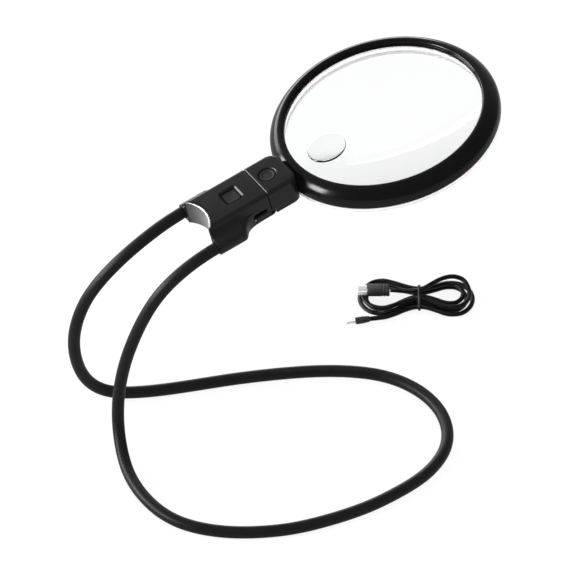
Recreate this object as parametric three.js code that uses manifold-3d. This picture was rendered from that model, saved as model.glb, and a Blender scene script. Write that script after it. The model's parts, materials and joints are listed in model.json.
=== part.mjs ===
// Hands-free neck magnifier: a lit lens head on a folding stem, carried by a bendable neck loop.
// Millimetres, +Z up. +X is the way the head points and +Y is the wearer's left.
import * as THREE from 'three';
import { mergeVertices } from 'three/addons/utils/BufferGeometryUtils.js';
import Module from 'manifold-3d';

const wasm = await Module();
wasm.setup();

// Fits and cutting
const gap = 0.3;             // between pieces that seat on each other
const pinGap = 0.15;         // between a pin or screw and its bore
const overrun = 2;           // how far a cutting shape runs past what it cuts
const weld = 0.0005;         // corners closer than this are one corner

// Stance: the loop lies on the table and two risers carry the body
const pitchShare = 14 / 360; // the head looks up by this share of a full turn
const exitHeight = 128;      // sockets above the centreline of the run on the table
const loopLength = 180;      // front to back
const loopWidth = 160;       // side to side
const exitRun = 10;          // straight tube outside each socket
const restFlat = 0.5;        // depth of the flat on which the tube rests

// Neck tube: rubber sleeve over a steel wire that keeps its bend
const tubeDiameter = 6.8;
const coreDiameter = 3.2;
const tubeSpacing = 37;      // between the two sockets
const ferruleLength = 5;

// Body
const bodyLength = 38;       // sockets' mouths to the hinge seam
const bodyWidth = 27;
const bodyTop = 11.3;        // top face above the sockets' centres
const wall = 1.8;
const edgeRadius = 2.2;      // long top edges
const socketWall = 0.8;
const socketDepth = 16;
const wingLength = 16;
const wingTaper = 4.5;       // the wings' front ends run out over this length
const plateThickness = 1.6;  // bottom covers
const scoopDepth = 5;
const trimThickness = 1.2;
const trimInset = 0.2;

// Fold hinge
const knuckleRadius = 2.2;
const knuckleSpan = 12.4;    // width of the middle knuckle
const pinRadius = 0.9;
const pinInset = 0.6;
const seamGap = 0.4;

// Release button on the body
const windowInset = 15.6;    // its middle, from the seam
const windowLength = 10.4;
const windowWidth = 11;
const windowRadius = 1.8;
const releaseRecess = 1;
const flangeReach = 1;
const flangeThickness = 1.1;
const springRadius = 2.4;
const springWire = 0.5;
const springTurns = 3;

// Parts inside the body
const frameThickness = 1;
const batteryHeight = 5;
const ribLength = 3.4;
const ribShare = 0.47;       // the ribs part the battery from the board here
const ribReach = 4;
const boardThickness = 1;
const portInset = 7;         // its middle, from the seam
const portZ = 0.6;
const portLength = 8.6;
const portHeight = 2.6;
const usbDepth = 7;
const usbWall = 0.35;
const usbTongue = 0.7;
const indicatorInset = 10.7; // from the seam
const indicatorZ = -1.9;
const indicatorRadius = 0.7;

// Fasteners
const screwRadius = 0.9;
const screwHeadRadius = 1.9;
const screwHeadDepth = 0.9;
const screwLength = 4.6;

// Stem and power button
const stemLength = 20;
const stemCorner = 6.5;
const stemOverlap = 2.5;     // how far the stem's top lip reaches over the rim
const powerInset = 7.8;      // from the seam
const powerRadius = 5.2;
const powerGap = 0.4;
const powerDish = 0.4;
const powerRecess = 0.3;
const powerTravel = 0.6;
const plungerRadius = 1.5;
const switchSize = 4.5;
const switchHeight = 1.4;
const tongueHeight = 4.4;
const tongueWidth = 12;
const tongueLength = 5;
const wireSlot = 2;

// Lens head
const apertureRadius = 55;
const rimWidth = 9;
const rimCrest = 8.8;        // above the sockets' centres
const rimLip = 8;
const rimShoulder = 2.6;
const rimFoot = -1.8;
const rimWall = 1.6;
const lensSeat = 2.2;        // how far the lens reaches under the lip
const lensEdge = 2.4;
const lensCrown = 4;         // each face rises by this in the middle
const lipLow = 3.5;          // underside of the lip
const pocketWall = 1;
const gasketHeight = 1.2;
const ringFoot = -5;
const ringFloor = 1.6;
const ringWall = 1.6;
const ledBoardHeight = 1.2;
const ledLength = 2.8;
const ledWidth = 1.6;
const ledHeight = 0.8;
const ledCount = 8;
const spotRadius = 10.8;
const spotOffset = 36.5;     // from the lens centre towards the stem
const spotCrown = 1.6;

// Charging cable, folded into a two-layer hank that lies beside the loop
const cableDiameter = 2.6;
const cableGap = 1;          // between turns side by side
const layerGap = 0.55;       // between the two layers
const hankLength = 68.4;     // the outermost turn, on its centreline
const hankWidth = 41;
const hankWaist = 10.6;      // the near and far runs each close in by this at the tie
const waistLength = 16;
const hankX = 156.4;         // from the point under the sockets
const hankY = 34.5;
const hankTurnShare = -30 / 360;
const plugWidth = 8;
const plugLength = 12.4;
const plugHeight = 4.6;
const plugX = -14;           // rear of the plug, from the middle of the hank
const plugLift = 7.3;
const shellWidth = 6.6;
const shellLength = 5.5;
const shellHeight = 2.6;
const shellWall = 0.4;
const smallPlugRadius = 2;
const smallPlugLength = 8;
const smallTipRadius = 1.2;
const smallTipLength = 5.5;
const tieX = 2.5;
const tieLength = 2.2;
const tieThickness = 0.8;

// Rise of a shallow spherical face at a share of its radius
function crownAt(share, radius, crown) {
  const sphere = (radius ** 2 + crown ** 2) / (2 * crown);
  return Math.sqrt(sphere ** 2 - (share * radius) ** 2) - (sphere - crown);
}

// Worked out from the sizes above
const pitch = 2 * Math.PI * pitchShare;
const tubeRadius = tubeDiameter / 2;
const coreRadius = coreDiameter / 2;
const tubeLevel = tubeRadius - restFlat;
const bossRadius = tubeRadius + gap + socketWall;
const bodyBottom = -bossRadius;
const half = bodyWidth / 2;
const hingeZ = bodyBottom + knuckleRadius;
const hingeClear = knuckleRadius + gap;
const knuckleHalf = knuckleSpan / 2;
const coverTop = bodyBottom + plateThickness;
const roof = bodyTop - wall;
const cavityHalf = half - wall;
const cavityRear = scoopDepth + trimThickness + gap + wall;
const cavityFront = bodyLength - hingeClear - wall / 2;
const scoopRadius = (scoopDepth ** 2 + half ** 2) / (2 * scoopDepth);
const scoopX = scoopDepth - scoopRadius;
const frameBottom = coverTop + gap + batteryHeight + gap;
const frameTop = frameBottom + frameThickness;
const flangeTop = roof - gap;
const flangeBottom = flangeTop - flangeThickness;
const plateX0 = cavityRear + gap;
const plateX1 = cavityFront - gap;
const plateHalf = cavityHalf - gap;
const ribX = plateX0 + ribShare * (plateX1 - plateX0);
const batteryFront = ribX - ribLength / 2 - gap;
const screwY = cavityHalf - ribReach / 2;
const boardRear = ribX + ribLength / 2 + gap;
const boardTop = coverTop + gap + boardThickness;
const windowX = bodyLength - windowInset;
const portX = bodyLength - portInset;
const indicatorX = bodyLength - indicatorInset;
const usbHalf = portLength / 2;
const usbTop = portZ + portHeight / 2 + usbWall;
const stemRear = bodyLength + seamGap / 2;
const stemFront = bodyLength + stemLength;
const powerX = bodyLength + powerInset;
const rimRadius = apertureRadius + rimWidth;
const headX = stemFront - stemOverlap + rimRadius;
const rimClear = rimRadius + gap;
const stemCavityRear = bodyLength + hingeClear + wall / 2;
const stemCavityFront = headX - rimClear - wall;
const stemScrewX = stemCavityFront - wall - screwHeadRadius;
const tongueLow = rimFoot + gap;
const tongueTop = tongueLow + tongueHeight;
const stemBoardLow = tongueTop + gap;
const stemBoardTop = stemBoardLow + boardThickness;
const lensRadius = apertureRadius + lensSeat;
const lensHigh = lipLow - gap - crownAt(apertureRadius / lensRadius, lensRadius, lensCrown);
const lensLow = lensHigh - lensEdge;
const pocketRadius = lensRadius + gap;
const channelInner = pocketRadius + pocketWall;
const channelOuter = rimRadius - rimWall;
const ledRadius = (channelInner + channelOuter) / 2;
const gasketTop = lensLow - gap;
const gasketLow = gasketTop - gasketHeight;

// Helpers: solids from closed geometry, and geometry back from solids
function solidOf(geometry) {
  const bare = geometry.clone();
  bare.deleteAttribute('normal');
  bare.deleteAttribute('uv');
  const merged = mergeVertices(bare, weld);
  const corners = merged.index.array;
  const triangles = [];
  for (let i = 0; i < corners.length; i += 3) {
    const [a, b, c] = corners.slice(i, i + 3);
    if (a !== b && b !== c && c !== a) triangles.push(a, b, c);
  }
  return new wasm.Manifold(new wasm.Mesh({
    numProp: 3,
    vertProperties: new Float32Array(merged.attributes.position.array),
    triVerts: new Uint32Array(triangles),
  }));
}

function geometryOf(solid) {
  const mesh = solid.getMesh();
  const geometry = new THREE.BufferGeometry();
  geometry.setAttribute('position', new THREE.BufferAttribute(new Float32Array(mesh.vertProperties), 3));
  geometry.setIndex(new THREE.BufferAttribute(new Uint32Array(mesh.triVerts), 1));
  geometry.computeVertexNormals();
  return geometry;
}

// A block between two corners
function block(x0, x1, y0, y1, z0, z1) {
  const geometry = new THREE.BoxGeometry(x1 - x0, y1 - y0, z1 - z0);
  geometry.translate((x0 + x1) / 2, (y0 + y1) / 2, (z0 + z1) / 2);
  return solidOf(geometry);
}

// An outline in the XY plane, raised from z0 to z1
function raised(shape, z0, z1) {
  const options = { depth: z1 - z0, bevelEnabled: false, curveSegments: 6 };
  const geometry = new THREE.ExtrudeGeometry(shape, options);
  geometry.translate(0, 0, z0);
  return solidOf(geometry);
}

// An outline in the YZ plane, run from x0 to x1
function run(shape, x0, x1) {
  const options = { depth: x1 - x0, bevelEnabled: false, curveSegments: 7 };
  const geometry = new THREE.ExtrudeGeometry(shape, options);
  const axes = [[1, 0, 0], [0, 1, 0], [0, 0, 1]];
  const [alongX, alongY, alongZ] = axes.map((axis) => new THREE.Vector3(...axis));
  geometry.applyMatrix4(new THREE.Matrix4().makeBasis(alongY, alongZ, alongX));
  geometry.translate(x0, 0, 0);
  return solidOf(geometry);
}

// Round bars along X, Y and Z
function barX(radius, x0, x1, y, z, sides) {
  const geometry = new THREE.CylinderGeometry(radius, radius, x1 - x0, sides);
  geometry.rotateZ(-Math.PI / 2);
  geometry.translate((x0 + x1) / 2, y, z);
  return solidOf(geometry);
}

function barY(radius, y0, y1, x, z, sides) {
  const geometry = new THREE.CylinderGeometry(radius, radius, y1 - y0, sides);
  geometry.translate(x, (y0 + y1) / 2, z);
  return solidOf(geometry);
}

function barZ(radius, x, y, z0, z1, sides) {
  const geometry = new THREE.CylinderGeometry(radius, radius, z1 - z0, sides);
  geometry.rotateX(Math.PI / 2);
  geometry.translate(x, y, (z0 + z1) / 2);
  return solidOf(geometry);
}

// A profile of [radius, height] pairs turned about an upright axis
function turned(profile, x, y, sides) {
  const points = profile.map(([radius, height]) => new THREE.Vector2(radius, height));
  const geometry = new THREE.LatheGeometry(points, sides);
  geometry.rotateX(Math.PI / 2);
  geometry.translate(x, y, 0);
  return solidOf(geometry);
}

// The same, with the profile closed on itself
function ring(profile, x, y, sides) {
  return turned([...profile, profile[0]], x, y, sides);
}

function roundedRectangle(x, y, length, width, radius) {
  const shape = new THREE.Shape();
  const [a, b] = [length / 2 - radius, width / 2 - radius];
  shape.absarc(x + a, y - b, radius, -Math.PI / 2, 0);
  shape.absarc(x + a, y + b, radius, 0, Math.PI / 2);
  shape.absarc(x - a, y + b, radius, Math.PI / 2, Math.PI);
  shape.absarc(x - a, y - b, radius, Math.PI, 3 * Math.PI / 2);
  shape.closePath();
  return shape;
}

// A regular outline, as a shape or as a hole in one
function regular(radius, sides, Kind = THREE.Shape) {
  const corners = [];
  for (let i = 0; i < sides; i += 1) {
    const turn = (2 * Math.PI * i) / sides;
    corners.push(new THREE.Vector2(radius * Math.cos(turn), radius * Math.sin(turn)));
  }
  return new Kind(corners);
}

function swept(shape, curve, steps) {
  return solidOf(new THREE.ExtrudeGeometry(shape, { steps, extrudePath: curve, bevelEnabled: false }));
}

// Finishes
function finish(color, roughness, metalness = 0) {
  return new THREE.MeshStandardMaterial({ color, roughness, metalness });
}
const satinBlack = finish(0x1d1d1f, 0.38);
const rubberBlack = finish(0x161616, 0.7);
const buttonBlack = finish(0x242426, 0.5);
const brightTrim = finish(0xa9abad, 0.3, 0.9);
const steel = finish(0xb8bcc0, 0.35, 1);
const brass = finish(0xc8a25a, 0.35, 1);
const whiteDiffuser = finish(0xf0f0ee, 0.45);
const boardGreen = finish(0x1e5b3a, 0.6);
const cellSilver = finish(0xb4b8bc, 0.4, 0.6);
const ledYellow = finish(0xf2e6a6, 0.4);
const greySilicone = finish(0x6d6f70, 0.7);
const cableBlack = finish(0x1a1a1a, 0.55);
const clearLens = finish(0xf2f6f6, 0.05);
clearLens.transparent = true;
clearLens.opacity = 0.25;

// The stand holds everything; the cradle is the pitched frame of body, stem and head
const magnifier = new THREE.Group();
const stand = new THREE.Group();
const cradle = new THREE.Group();
magnifier.add(stand);
stand.add(cradle);
cradle.position.z = tubeLevel + exitHeight;
cradle.rotation.y = -pitch;

function piece(name, solid, material, home = cradle) {
  const mesh = new THREE.Mesh(geometryOf(solid), material);
  mesh.name = name;
  home.add(mesh);
}

// Body housing: a rounded block whose rear half flares down into two wings that hold the tube's ends
function blockSection() {
  const top = bodyTop - edgeRadius;
  const shape = new THREE.Shape();
  shape.moveTo(-half, bodyBottom);
  shape.lineTo(half, bodyBottom);
  shape.absarc(half - edgeRadius, top, edgeRadius, 0, Math.PI / 2);
  shape.absarc(-half + edgeRadius, top, edgeRadius, Math.PI / 2, Math.PI);
  shape.closePath();
  return shape;
}

function wingSection() {
  const outer = tubeSpacing / 2;
  const top = bodyTop - edgeRadius;
  const swell = (bodyTop - bossRadius) / 4;
  const low = bossRadius + swell / 2;
  const shape = new THREE.Shape();
  shape.moveTo(-outer, bodyBottom);
  shape.lineTo(outer, bodyBottom);
  shape.absarc(outer, 0, bossRadius, -Math.PI / 2, Math.PI / 2);
  shape.bezierCurveTo(outer - swell, bossRadius, half + swell, low, half, top);
  shape.absarc(half - edgeRadius, top, edgeRadius, 0, Math.PI / 2);
  shape.absarc(-half + edgeRadius, top, edgeRadius, Math.PI / 2, Math.PI);
  shape.bezierCurveTo(-half - swell, low, -outer + swell, bossRadius, -outer, bossRadius);
  shape.absarc(-outer, 0, bossRadius, Math.PI / 2, 3 * Math.PI / 2);
  return shape;
}

// Seen from above the wings run straight, then their front ends sweep in to the body's sides
function wingPlan() {
  const reach = tubeSpacing / 2 + bossRadius + gap;
  const [end, tuck] = [wingLength + wingTaper, half - wall / 2];
  const shape = new THREE.Shape();
  shape.moveTo(-gap, -reach);
  shape.lineTo(wingLength, -reach);
  shape.quadraticCurveTo(end - wingTaper / 3, -reach, end - wingTaper / 6, -half - edgeRadius);
  shape.quadraticCurveTo(end, -half, end + wingTaper / 2, -tuck);
  shape.lineTo(end + wingTaper / 2, tuck);
  shape.quadraticCurveTo(end, half, end - wingTaper / 6, half + edgeRadius);
  shape.quadraticCurveTo(end - wingTaper / 3, reach, wingLength, reach);
  shape.lineTo(-gap, reach);
  return shape;
}

// A slice of the upright ring behind the scoop's face, cut to the body's width
function scoopSlice(inner, outer, halfWidth, z0, z1) {
  const slab = block(0, scoopDepth + trimThickness + overrun, -halfWidth, halfWidth, z0, z1);
  const hollow = barZ(inner, scoopX, 0, z0 - overrun, z1 + overrun, 72);
  return barZ(outer, scoopX, 0, z0 - overrun, z1 + overrun, 72).intersect(slab).subtract(hollow);
}

// The charging port's rounded slot, run along Y
function portSlot(length, height, y0, y1) {
  const shape = roundedRectangle(portX, portZ, length, height, height / 2 - gap);
  const options = { depth: y1 - y0, bevelEnabled: false, curveSegments: 4 };
  const geometry = new THREE.ExtrudeGeometry(shape, options);
  geometry.rotateX(Math.PI / 2);
  geometry.translate(0, y1, 0);
  return solidOf(geometry);
}

// A rib on the inside of one side wall
function sideRib(x, side, z0, z1) {
  const [inner, outer] = [side * (cavityHalf - ribReach), side * (cavityHalf + wall / 2)];
  const [low, high] = [Math.min(inner, outer), Math.max(inner, outer)];
  return block(x - ribLength / 2, x + ribLength / 2, low, high, z0, z1);
}

function bodyHousing() {
  const low = bodyBottom - overrun;
  const high = bodyTop + overrun;
  const wings = run(wingSection(), 0, wingLength + wingTaper * 2);
  let shell = wings.intersect(raised(wingPlan(), low, high));
  shell = shell.add(run(blockSection(), 0, bodyLength - seamGap / 2));
  // hinge knuckles, the room for the stem's own knuckle and the pin's bore
  shell = shell.add(barY(knuckleRadius, knuckleHalf + gap, half, bodyLength, hingeZ, 20));
  shell = shell.add(barY(knuckleRadius, -half, -knuckleHalf - gap, bodyLength, hingeZ, 20));
  shell = shell.subtract(barY(hingeClear, -knuckleHalf - gap, knuckleHalf + gap, bodyLength, hingeZ, 20));
  shell = shell.subtract(barY(pinRadius + pinGap, -half - overrun, half + overrun, bodyLength, hingeZ, 16));
  // scoop, and the pocket behind its trim
  const face = barZ(scoopRadius, scoopX, 0, low, high, 72);
  shell = shell.subtract(face.intersect(block(-overrun, scoopDepth + overrun, -half, half, low, high)));
  const backing = scoopRadius + trimThickness + gap;
  shell = shell.subtract(scoopSlice(scoopRadius - gap, backing, half - trimInset, low, high));
  // cavity, open below, with ribs that take the cover's screws and carry the inner frame
  shell = shell.subtract(block(cavityRear, cavityFront, -cavityHalf, cavityHalf, low, roof));
  for (const side of [-1, 1]) {
    shell = shell.add(sideRib(ribX, side, coverTop + gap, frameBottom - gap));
    shell = shell.subtract(barZ(screwRadius + pinGap, ribX, side * screwY, low, frameBottom - wall, 12));
  }
  const usbReach = usbHalf + usbWall + gap;
  const usbEnd = -cavityHalf + usbDepth + gap;
  const [usbRear, usbFront] = [portX - usbReach, portX + usbReach];
  shell = shell.subtract(block(usbRear, usbFront, -cavityHalf - gap, usbEnd, low, usbTop + gap));
  // tube sockets, release window, port slot and indicator hole
  for (const side of [-1, 1]) {
    shell = shell.subtract(barX(tubeRadius + gap, -overrun, socketDepth, side * tubeSpacing / 2, 0, 24));
  }
  const window = roundedRectangle(windowX, 0, windowLength, windowWidth, windowRadius);
  shell = shell.subtract(raised(window, roof - overrun, high));
  shell = shell.subtract(portSlot(portLength, portHeight, -half - overrun, -cavityHalf + overrun));
  const lampBore = indicatorRadius + pinGap;
  return shell.subtract(barY(lampBore, -half - overrun, -cavityHalf + gap, indicatorX, indicatorZ, 12));
}

// Bottom cover: a plate let into the underside, held by two countersunk screws
function bottomCover(x0, x1, screwX) {
  let plate = block(x0, x1, -cavityHalf + gap, cavityHalf - gap, bodyBottom, coverTop);
  const sunk = bodyBottom + screwHeadDepth + gap;
  for (const side of [-1, 1]) {
    const [low, y] = [bodyBottom - overrun, side * screwY];
    plate = plate.subtract(barZ(screwRadius + pinGap, screwX, y, low, coverTop + overrun, 12));
    plate = plate.subtract(barZ(screwHeadRadius + gap, screwX, y, low, sunk, 16));
  }
  return plate;
}

// Flat-headed screw with a cross recess
function screw(x, side) {
  const y = side * screwY;
  const [low, arm] = [bodyBottom - gap, screwRadius / 3];
  const head = barZ(screwHeadRadius, x, y, bodyBottom, bodyBottom + screwHeadDepth, 16);
  const body = head.add(barZ(screwRadius, x, y, bodyBottom, bodyBottom + screwLength, 12));
  const long = block(x - screwRadius, x + screwRadius, y - arm, y + arm, low, bodyBottom + gap);
  const across = block(x - arm, x + arm, y - screwRadius, y + screwRadius, low, bodyBottom + gap);
  return body.subtract(long).subtract(across);
}

// Release button: a dished cap in the window, on a flange that keeps it from falling out
function releaseButton() {
  const [length, width] = [windowLength - 2 * gap, windowWidth - 2 * gap];
  const cap = roundedRectangle(windowX, 0, length, width, windowRadius - gap);
  const [long, wide] = [length + 2 * flangeReach, width + 2 * flangeReach];
  const flange = roundedRectangle(windowX, 0, long, wide, windowRadius);
  const button = raised(cap, flangeBottom, bodyTop - releaseRecess);
  const dishRadius = windowLength * 2;
  const dishZ = bodyTop - releaseRecess - gap + dishRadius;
  const dish = barY(dishRadius, -windowWidth, windowWidth, windowX, dishZ, 96);
  return button.add(raised(flange, flangeBottom, flangeTop)).subtract(dish);
}

// Return spring: one wire wound round the button's axis
class Helix extends THREE.Curve {
  constructor(x, z0, z1, radius, turns) {
    super();
    Object.assign(this, { x, z0, z1, radius, turns });
  }

  getPoint(t, target = new THREE.Vector3()) {
    const turn = 2 * Math.PI * this.turns * t;
    const [x, y] = [this.x + this.radius * Math.cos(turn), this.radius * Math.sin(turn)];
    return target.set(x, y, this.z0 + (this.z1 - this.z0) * t);
  }
}

function releaseSpring() {
  const [z0, z1] = [frameTop + gap + springWire / 2, flangeBottom - gap - springWire / 2];
  const curve = new Helix(windowX, z0, z1, springRadius, springTurns);
  return swept(regular(springWire / 2, 5), curve, springTurns * 8);
}

// Charging socket: a folded metal shell, open to the outside, with its contact tongue
function usbSocket() {
  const [y0, y1] = [-cavityHalf, -cavityHalf + usbDepth];
  const shell = portSlot(portLength + 2 * usbWall, portHeight + 2 * usbWall, y0, y1);
  const mouth = portSlot(portLength, portHeight, y0 - overrun, y1 - usbWall);
  const reach = usbHalf * 2 / 3;
  const [low, high] = [portZ - usbTongue / 2, portZ + usbTongue / 2];
  const tongue = block(portX - reach, portX + reach, y0 + usbTongue, y1 - usbWall / 2, low, high);
  return shell.subtract(mouth).add(tongue);
}

const cellTop = coverTop + gap + batteryHeight;
const cellLow = coverTop + gap;
const trimWidth = half - trimInset - gap;
const trimTop = bodyTop - trimInset;
const trimBack = scoopRadius + trimThickness;
piece('body_housing', bodyHousing(), satinBlack);
piece('body_bottom_cover', bottomCover(plateX0, plateX1, ribX), satinBlack);
piece('rear_trim', scoopSlice(scoopRadius, trimBack, trimWidth, bodyBottom, trimTop), brightTrim);
piece('body_screw_left', screw(ribX, 1), steel);
piece('body_screw_right', screw(ribX, -1), steel);
piece('battery', block(plateX0, batteryFront, -plateHalf, plateHalf, cellLow, cellTop), cellSilver);
piece('charge_board', block(boardRear, plateX1, -plateHalf, plateHalf, cellLow, boardTop), boardGreen);
const frameSlab = block(plateX0, plateX1, -plateHalf, plateHalf, frameBottom, frameTop);
piece('inner_frame', frameSlab, satinBlack);
piece('usb_socket', usbSocket(), steel);
const lightPipe = barY(indicatorRadius, -half, -cavityHalf, indicatorX, indicatorZ, 12);
piece('charge_indicator', lightPipe, whiteDiffuser);
piece('release_button', releaseButton(), buttonBlack);
piece('release_spring', releaseSpring(), steel);
piece('hinge_pin', barY(pinRadius, -half + pinInset, half - pinInset, bodyLength, hingeZ, 16), steel);

// Stem: the same section as the body with rounded front corners, open round the rim's tongue
function stemPlan() {
  const [side, front] = [half - stemCorner, stemFront - stemCorner];
  const shape = new THREE.Shape();
  shape.moveTo(stemRear, -half);
  shape.lineTo(front, -half);
  shape.absarc(front, -side, stemCorner, -Math.PI / 2, 0);
  shape.absarc(front, side, stemCorner, 0, Math.PI / 2);
  shape.lineTo(stemRear, half);
  return shape;
}

function stemHousing() {
  const low = bodyBottom - overrun;
  const high = bodyTop + overrun;
  let shell = run(blockSection(), stemRear, stemFront).intersect(raised(stemPlan(), low, high));
  // the rim stands under the front lip, and the lip clears its crest
  shell = shell.subtract(barZ(rimClear, headX, 0, low, rimCrest + gap, 120));
  // room for the body's knuckles, then the stem's own knuckle
  const heel = bodyLength + hingeClear;
  shell = shell.subtract(barY(hingeClear, -half - overrun, half + overrun, bodyLength, hingeZ, 20));
  shell = shell.subtract(block(bodyLength, heel, -half - overrun, half + overrun, low, hingeZ));
  shell = shell.subtract(block(stemCavityRear, stemCavityFront, -cavityHalf, cavityHalf, low, roof));
  const overHinge = hingeZ + hingeClear + wall;
  const heelRoom = stemRear + wall / 2;
  shell = shell.subtract(block(heelRoom, stemCavityFront, -cavityHalf, cavityHalf, overHinge, roof));
  const [webLow, webHigh] = [bodyBottom + seamGap, hingeZ + knuckleRadius];
  shell = shell.add(barY(knuckleRadius, -knuckleHalf, knuckleHalf, bodyLength, hingeZ, 20));
  shell = shell.add(block(bodyLength, heel + wall / 3, -knuckleHalf, knuckleHalf, webLow, webHigh));
  shell = shell.subtract(barY(pinRadius + pinGap, -half - overrun, half + overrun, bodyLength, hingeZ, 16));
  // mouth for the rim's tongue, the button's well and the ribs that take the screws
  const mouth = tongueWidth / 2 + gap;
  shell = shell.subtract(block(stemCavityFront - overrun, stemFront, -mouth, mouth, low, tongueTop + gap));
  shell = shell.subtract(barZ(powerRadius, powerX, 0, roof - overrun, high, 32));
  for (const side of [-1, 1]) {
    shell = shell.add(sideRib(stemScrewX, side, coverTop + gap, stemBoardLow - gap));
    const [bore, y] = [screwRadius + pinGap, side * screwY];
    shell = shell.subtract(barZ(bore, stemScrewX, y, low, stemBoardLow - wall, 12));
  }
  return shell;
}

// Power button: a round dished cap on a flange, with a plunger over the switch
function powerButton() {
  const cap = powerRadius - powerGap;
  const top = bodyTop - powerRecess;
  return turned([
    [0, switchTop + gap + powerTravel],
    [plungerRadius, switchTop + gap + powerTravel],
    [plungerRadius, flangeBottom],
    [powerRadius + flangeReach, flangeBottom],
    [powerRadius + flangeReach, flangeTop],
    [cap, flangeTop],
    [cap, top - powerDish / 2],
    [cap - powerDish / 2, top],
    [cap * 3 / 4, top - powerDish * 3 / 4],
    [0, top - powerDish],
  ], powerX, 0, 32);
}

// Press switch: a square case with a round nub
function powerSwitch() {
  const [reach, low] = [switchSize / 2, stemBoardTop + gap];
  const nub = barZ(reach / 2, powerX, 0, low, switchTop, 16);
  return block(powerX - reach, powerX + reach, -reach, reach, low, switchTop - gap).add(nub);
}

const switchTop = stemBoardTop + gap + switchHeight;
const stemPlateX0 = stemCavityRear + gap;
const stemPlateX1 = stemCavityFront - gap;
const stemPlate = bottomCover(stemPlateX0, stemPlateX1, stemScrewX);
piece('stem_housing', stemHousing(), satinBlack);
piece('stem_bottom_cover', stemPlate, satinBlack);
piece('stem_screw_left', screw(stemScrewX, 1), steel);
piece('stem_screw_right', screw(stemScrewX, -1), steel);
piece('stem_board',
  block(stemPlateX0, stemPlateX1, -plateHalf, plateHalf, stemBoardLow, stemBoardTop), boardGreen);
piece('power_switch', powerSwitch(), steel);
piece('power_button', powerButton(), buttonBlack);

// Lens head: everything in it is turned about the lens's axis
const headSides = 64;

// The rim's crown, from its outer edge inwards, as shares of its width and of its rise over the shoulder
const crownShares = [[0.04, 0.35], [0.14, 0.68], [0.29, 0.9], [0.48, 1], [0.8, 0.96]];

// Rim: a rounded channel, open below, with the lens's pocket inside it and a tongue into the stem
function headBezel() {
  const rise = rimCrest - rimShoulder;
  const shell = ring([
    [channelOuter, rimFoot],
    [rimRadius, rimFoot],
    [rimRadius, rimShoulder],
    ...crownShares.map(([inward, up]) => [rimRadius - rimWidth * inward, rimShoulder + rise * up]),
    [apertureRadius, rimLip],
    [apertureRadius, lipLow],
    [pocketRadius, lipLow],
    [pocketRadius, rimFoot],
    [channelInner, rimFoot],
    [channelInner, rimShoulder],
    [channelOuter, rimShoulder],
  ], headX, 0, headSides);
  const reach = headX - rimRadius;
  const [rear, front] = [reach - tongueLength, reach + rimWall / 2];
  const tongue = block(rear, front, -tongueWidth / 2, tongueWidth / 2, tongueLow, tongueTop);
  const [low, high] = [tongueLow + wall / 2, tongueLow + wall / 2 + wireSlot];
  return shell.add(tongue).subtract(block(rear - overrun, front + overrun, -wireSlot, wireSlot, low, high));
}

// Stations on the lenses' faces, as shares of their radii
const lensShares = [0.35, 0.62, 0.83, 0.95];
const spotShares = [0.35, 0.6, 0.82];

function mainLens() {
  const edge = [[lensRadius, lensLow], [lensRadius, lensHigh]];
  const faces = lensShares.map((share) => [share * lensRadius, crownAt(share, lensRadius, lensCrown)]);
  const up = faces.map(([r, h]) => [r, lensHigh + h]);
  const down = faces.map(([r, h]) => [r, lensLow - h]);
  const profile = [[0, lensLow - lensCrown], ...down, ...edge, ...up.reverse(), [0, lensHigh + lensCrown]];
  const [low, high] = [lensLow - lensCrown - overrun, lensHigh + lensCrown + overrun];
  const hole = barZ(spotRadius + gap, headX - spotOffset, 0, low, high, 32);
  return turned(profile, headX, 0, headSides).subtract(hole);
}

// Stronger small lens, set into the main one near the stem
function spotLens() {
  const there = spotOffset / lensRadius;
  const rise = crownAt(there, lensRadius, lensCrown);
  const [low, high] = [lensLow - rise, lensHigh + rise];
  const faces = spotShares.map((share) => [share * spotRadius, crownAt(share, spotRadius, spotCrown)]);
  return turned([
    [0, low - spotCrown],
    ...faces.map(([r, h]) => [r, low - h]),
    [spotRadius, low],
    [spotRadius, high],
    ...faces.reverse().map(([r, h]) => [r, high + h]),
    [0, high + spotCrown],
  ], headX - spotOffset, 0, 32);
}

// White ring below the rim: a trough that spreads the light, its inner wall holding the lens up
function diffuserRing() {
  const [inner, outer] = [apertureRadius + gap, rimRadius - gap];
  return ring([
    [inner, ringFoot],
    [outer - ringWall / 2, ringFoot],
    [outer, ringFoot + ringWall / 2],
    [outer, rimFoot - gap],
    [outer - ringWall, rimFoot - gap],
    [outer - ringWall, ringFoot + ringFloor],
    [inner + ringWall, ringFoot + ringFloor],
    [inner + ringWall, gasketLow - gap],
    [inner, gasketLow - gap],
  ], headX, 0, headSides);
}

function band(inner, outer, low, high) {
  return ring([[inner, low], [outer, low], [outer, high], [inner, high]], headX, 0, headSides);
}

const ledBoardLow = rimShoulder - gap - ledBoardHeight;
piece('head_bezel', headBezel(), satinBlack);
piece('main_lens', mainLens(), clearLens);
piece('spot_lens', spotLens(), clearLens);
piece('lens_gasket', band(apertureRadius + gap, lensRadius, gasketLow, gasketTop), greySilicone);
const ledBoard = band(channelInner + gap, channelOuter - gap, ledBoardLow, rimShoulder - gap);
piece('led_ring_board', ledBoard, boardGreen);
piece('diffuser_ring', diffuserRing(), whiteDiffuser);
for (let i = 0; i < ledCount; i += 1) {
  const turn = (2 * Math.PI * (i + 0.5)) / ledCount;
  const geometry = new THREE.BoxGeometry(ledWidth, ledLength, ledHeight);
  geometry.translate(ledRadius, 0, ledBoardLow - gap - ledHeight / 2);
  geometry.rotateZ(turn);
  geometry.translate(headX, 0, 0);
  piece(`led_${i + 1}`, solidOf(geometry), ledYellow);
}

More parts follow.
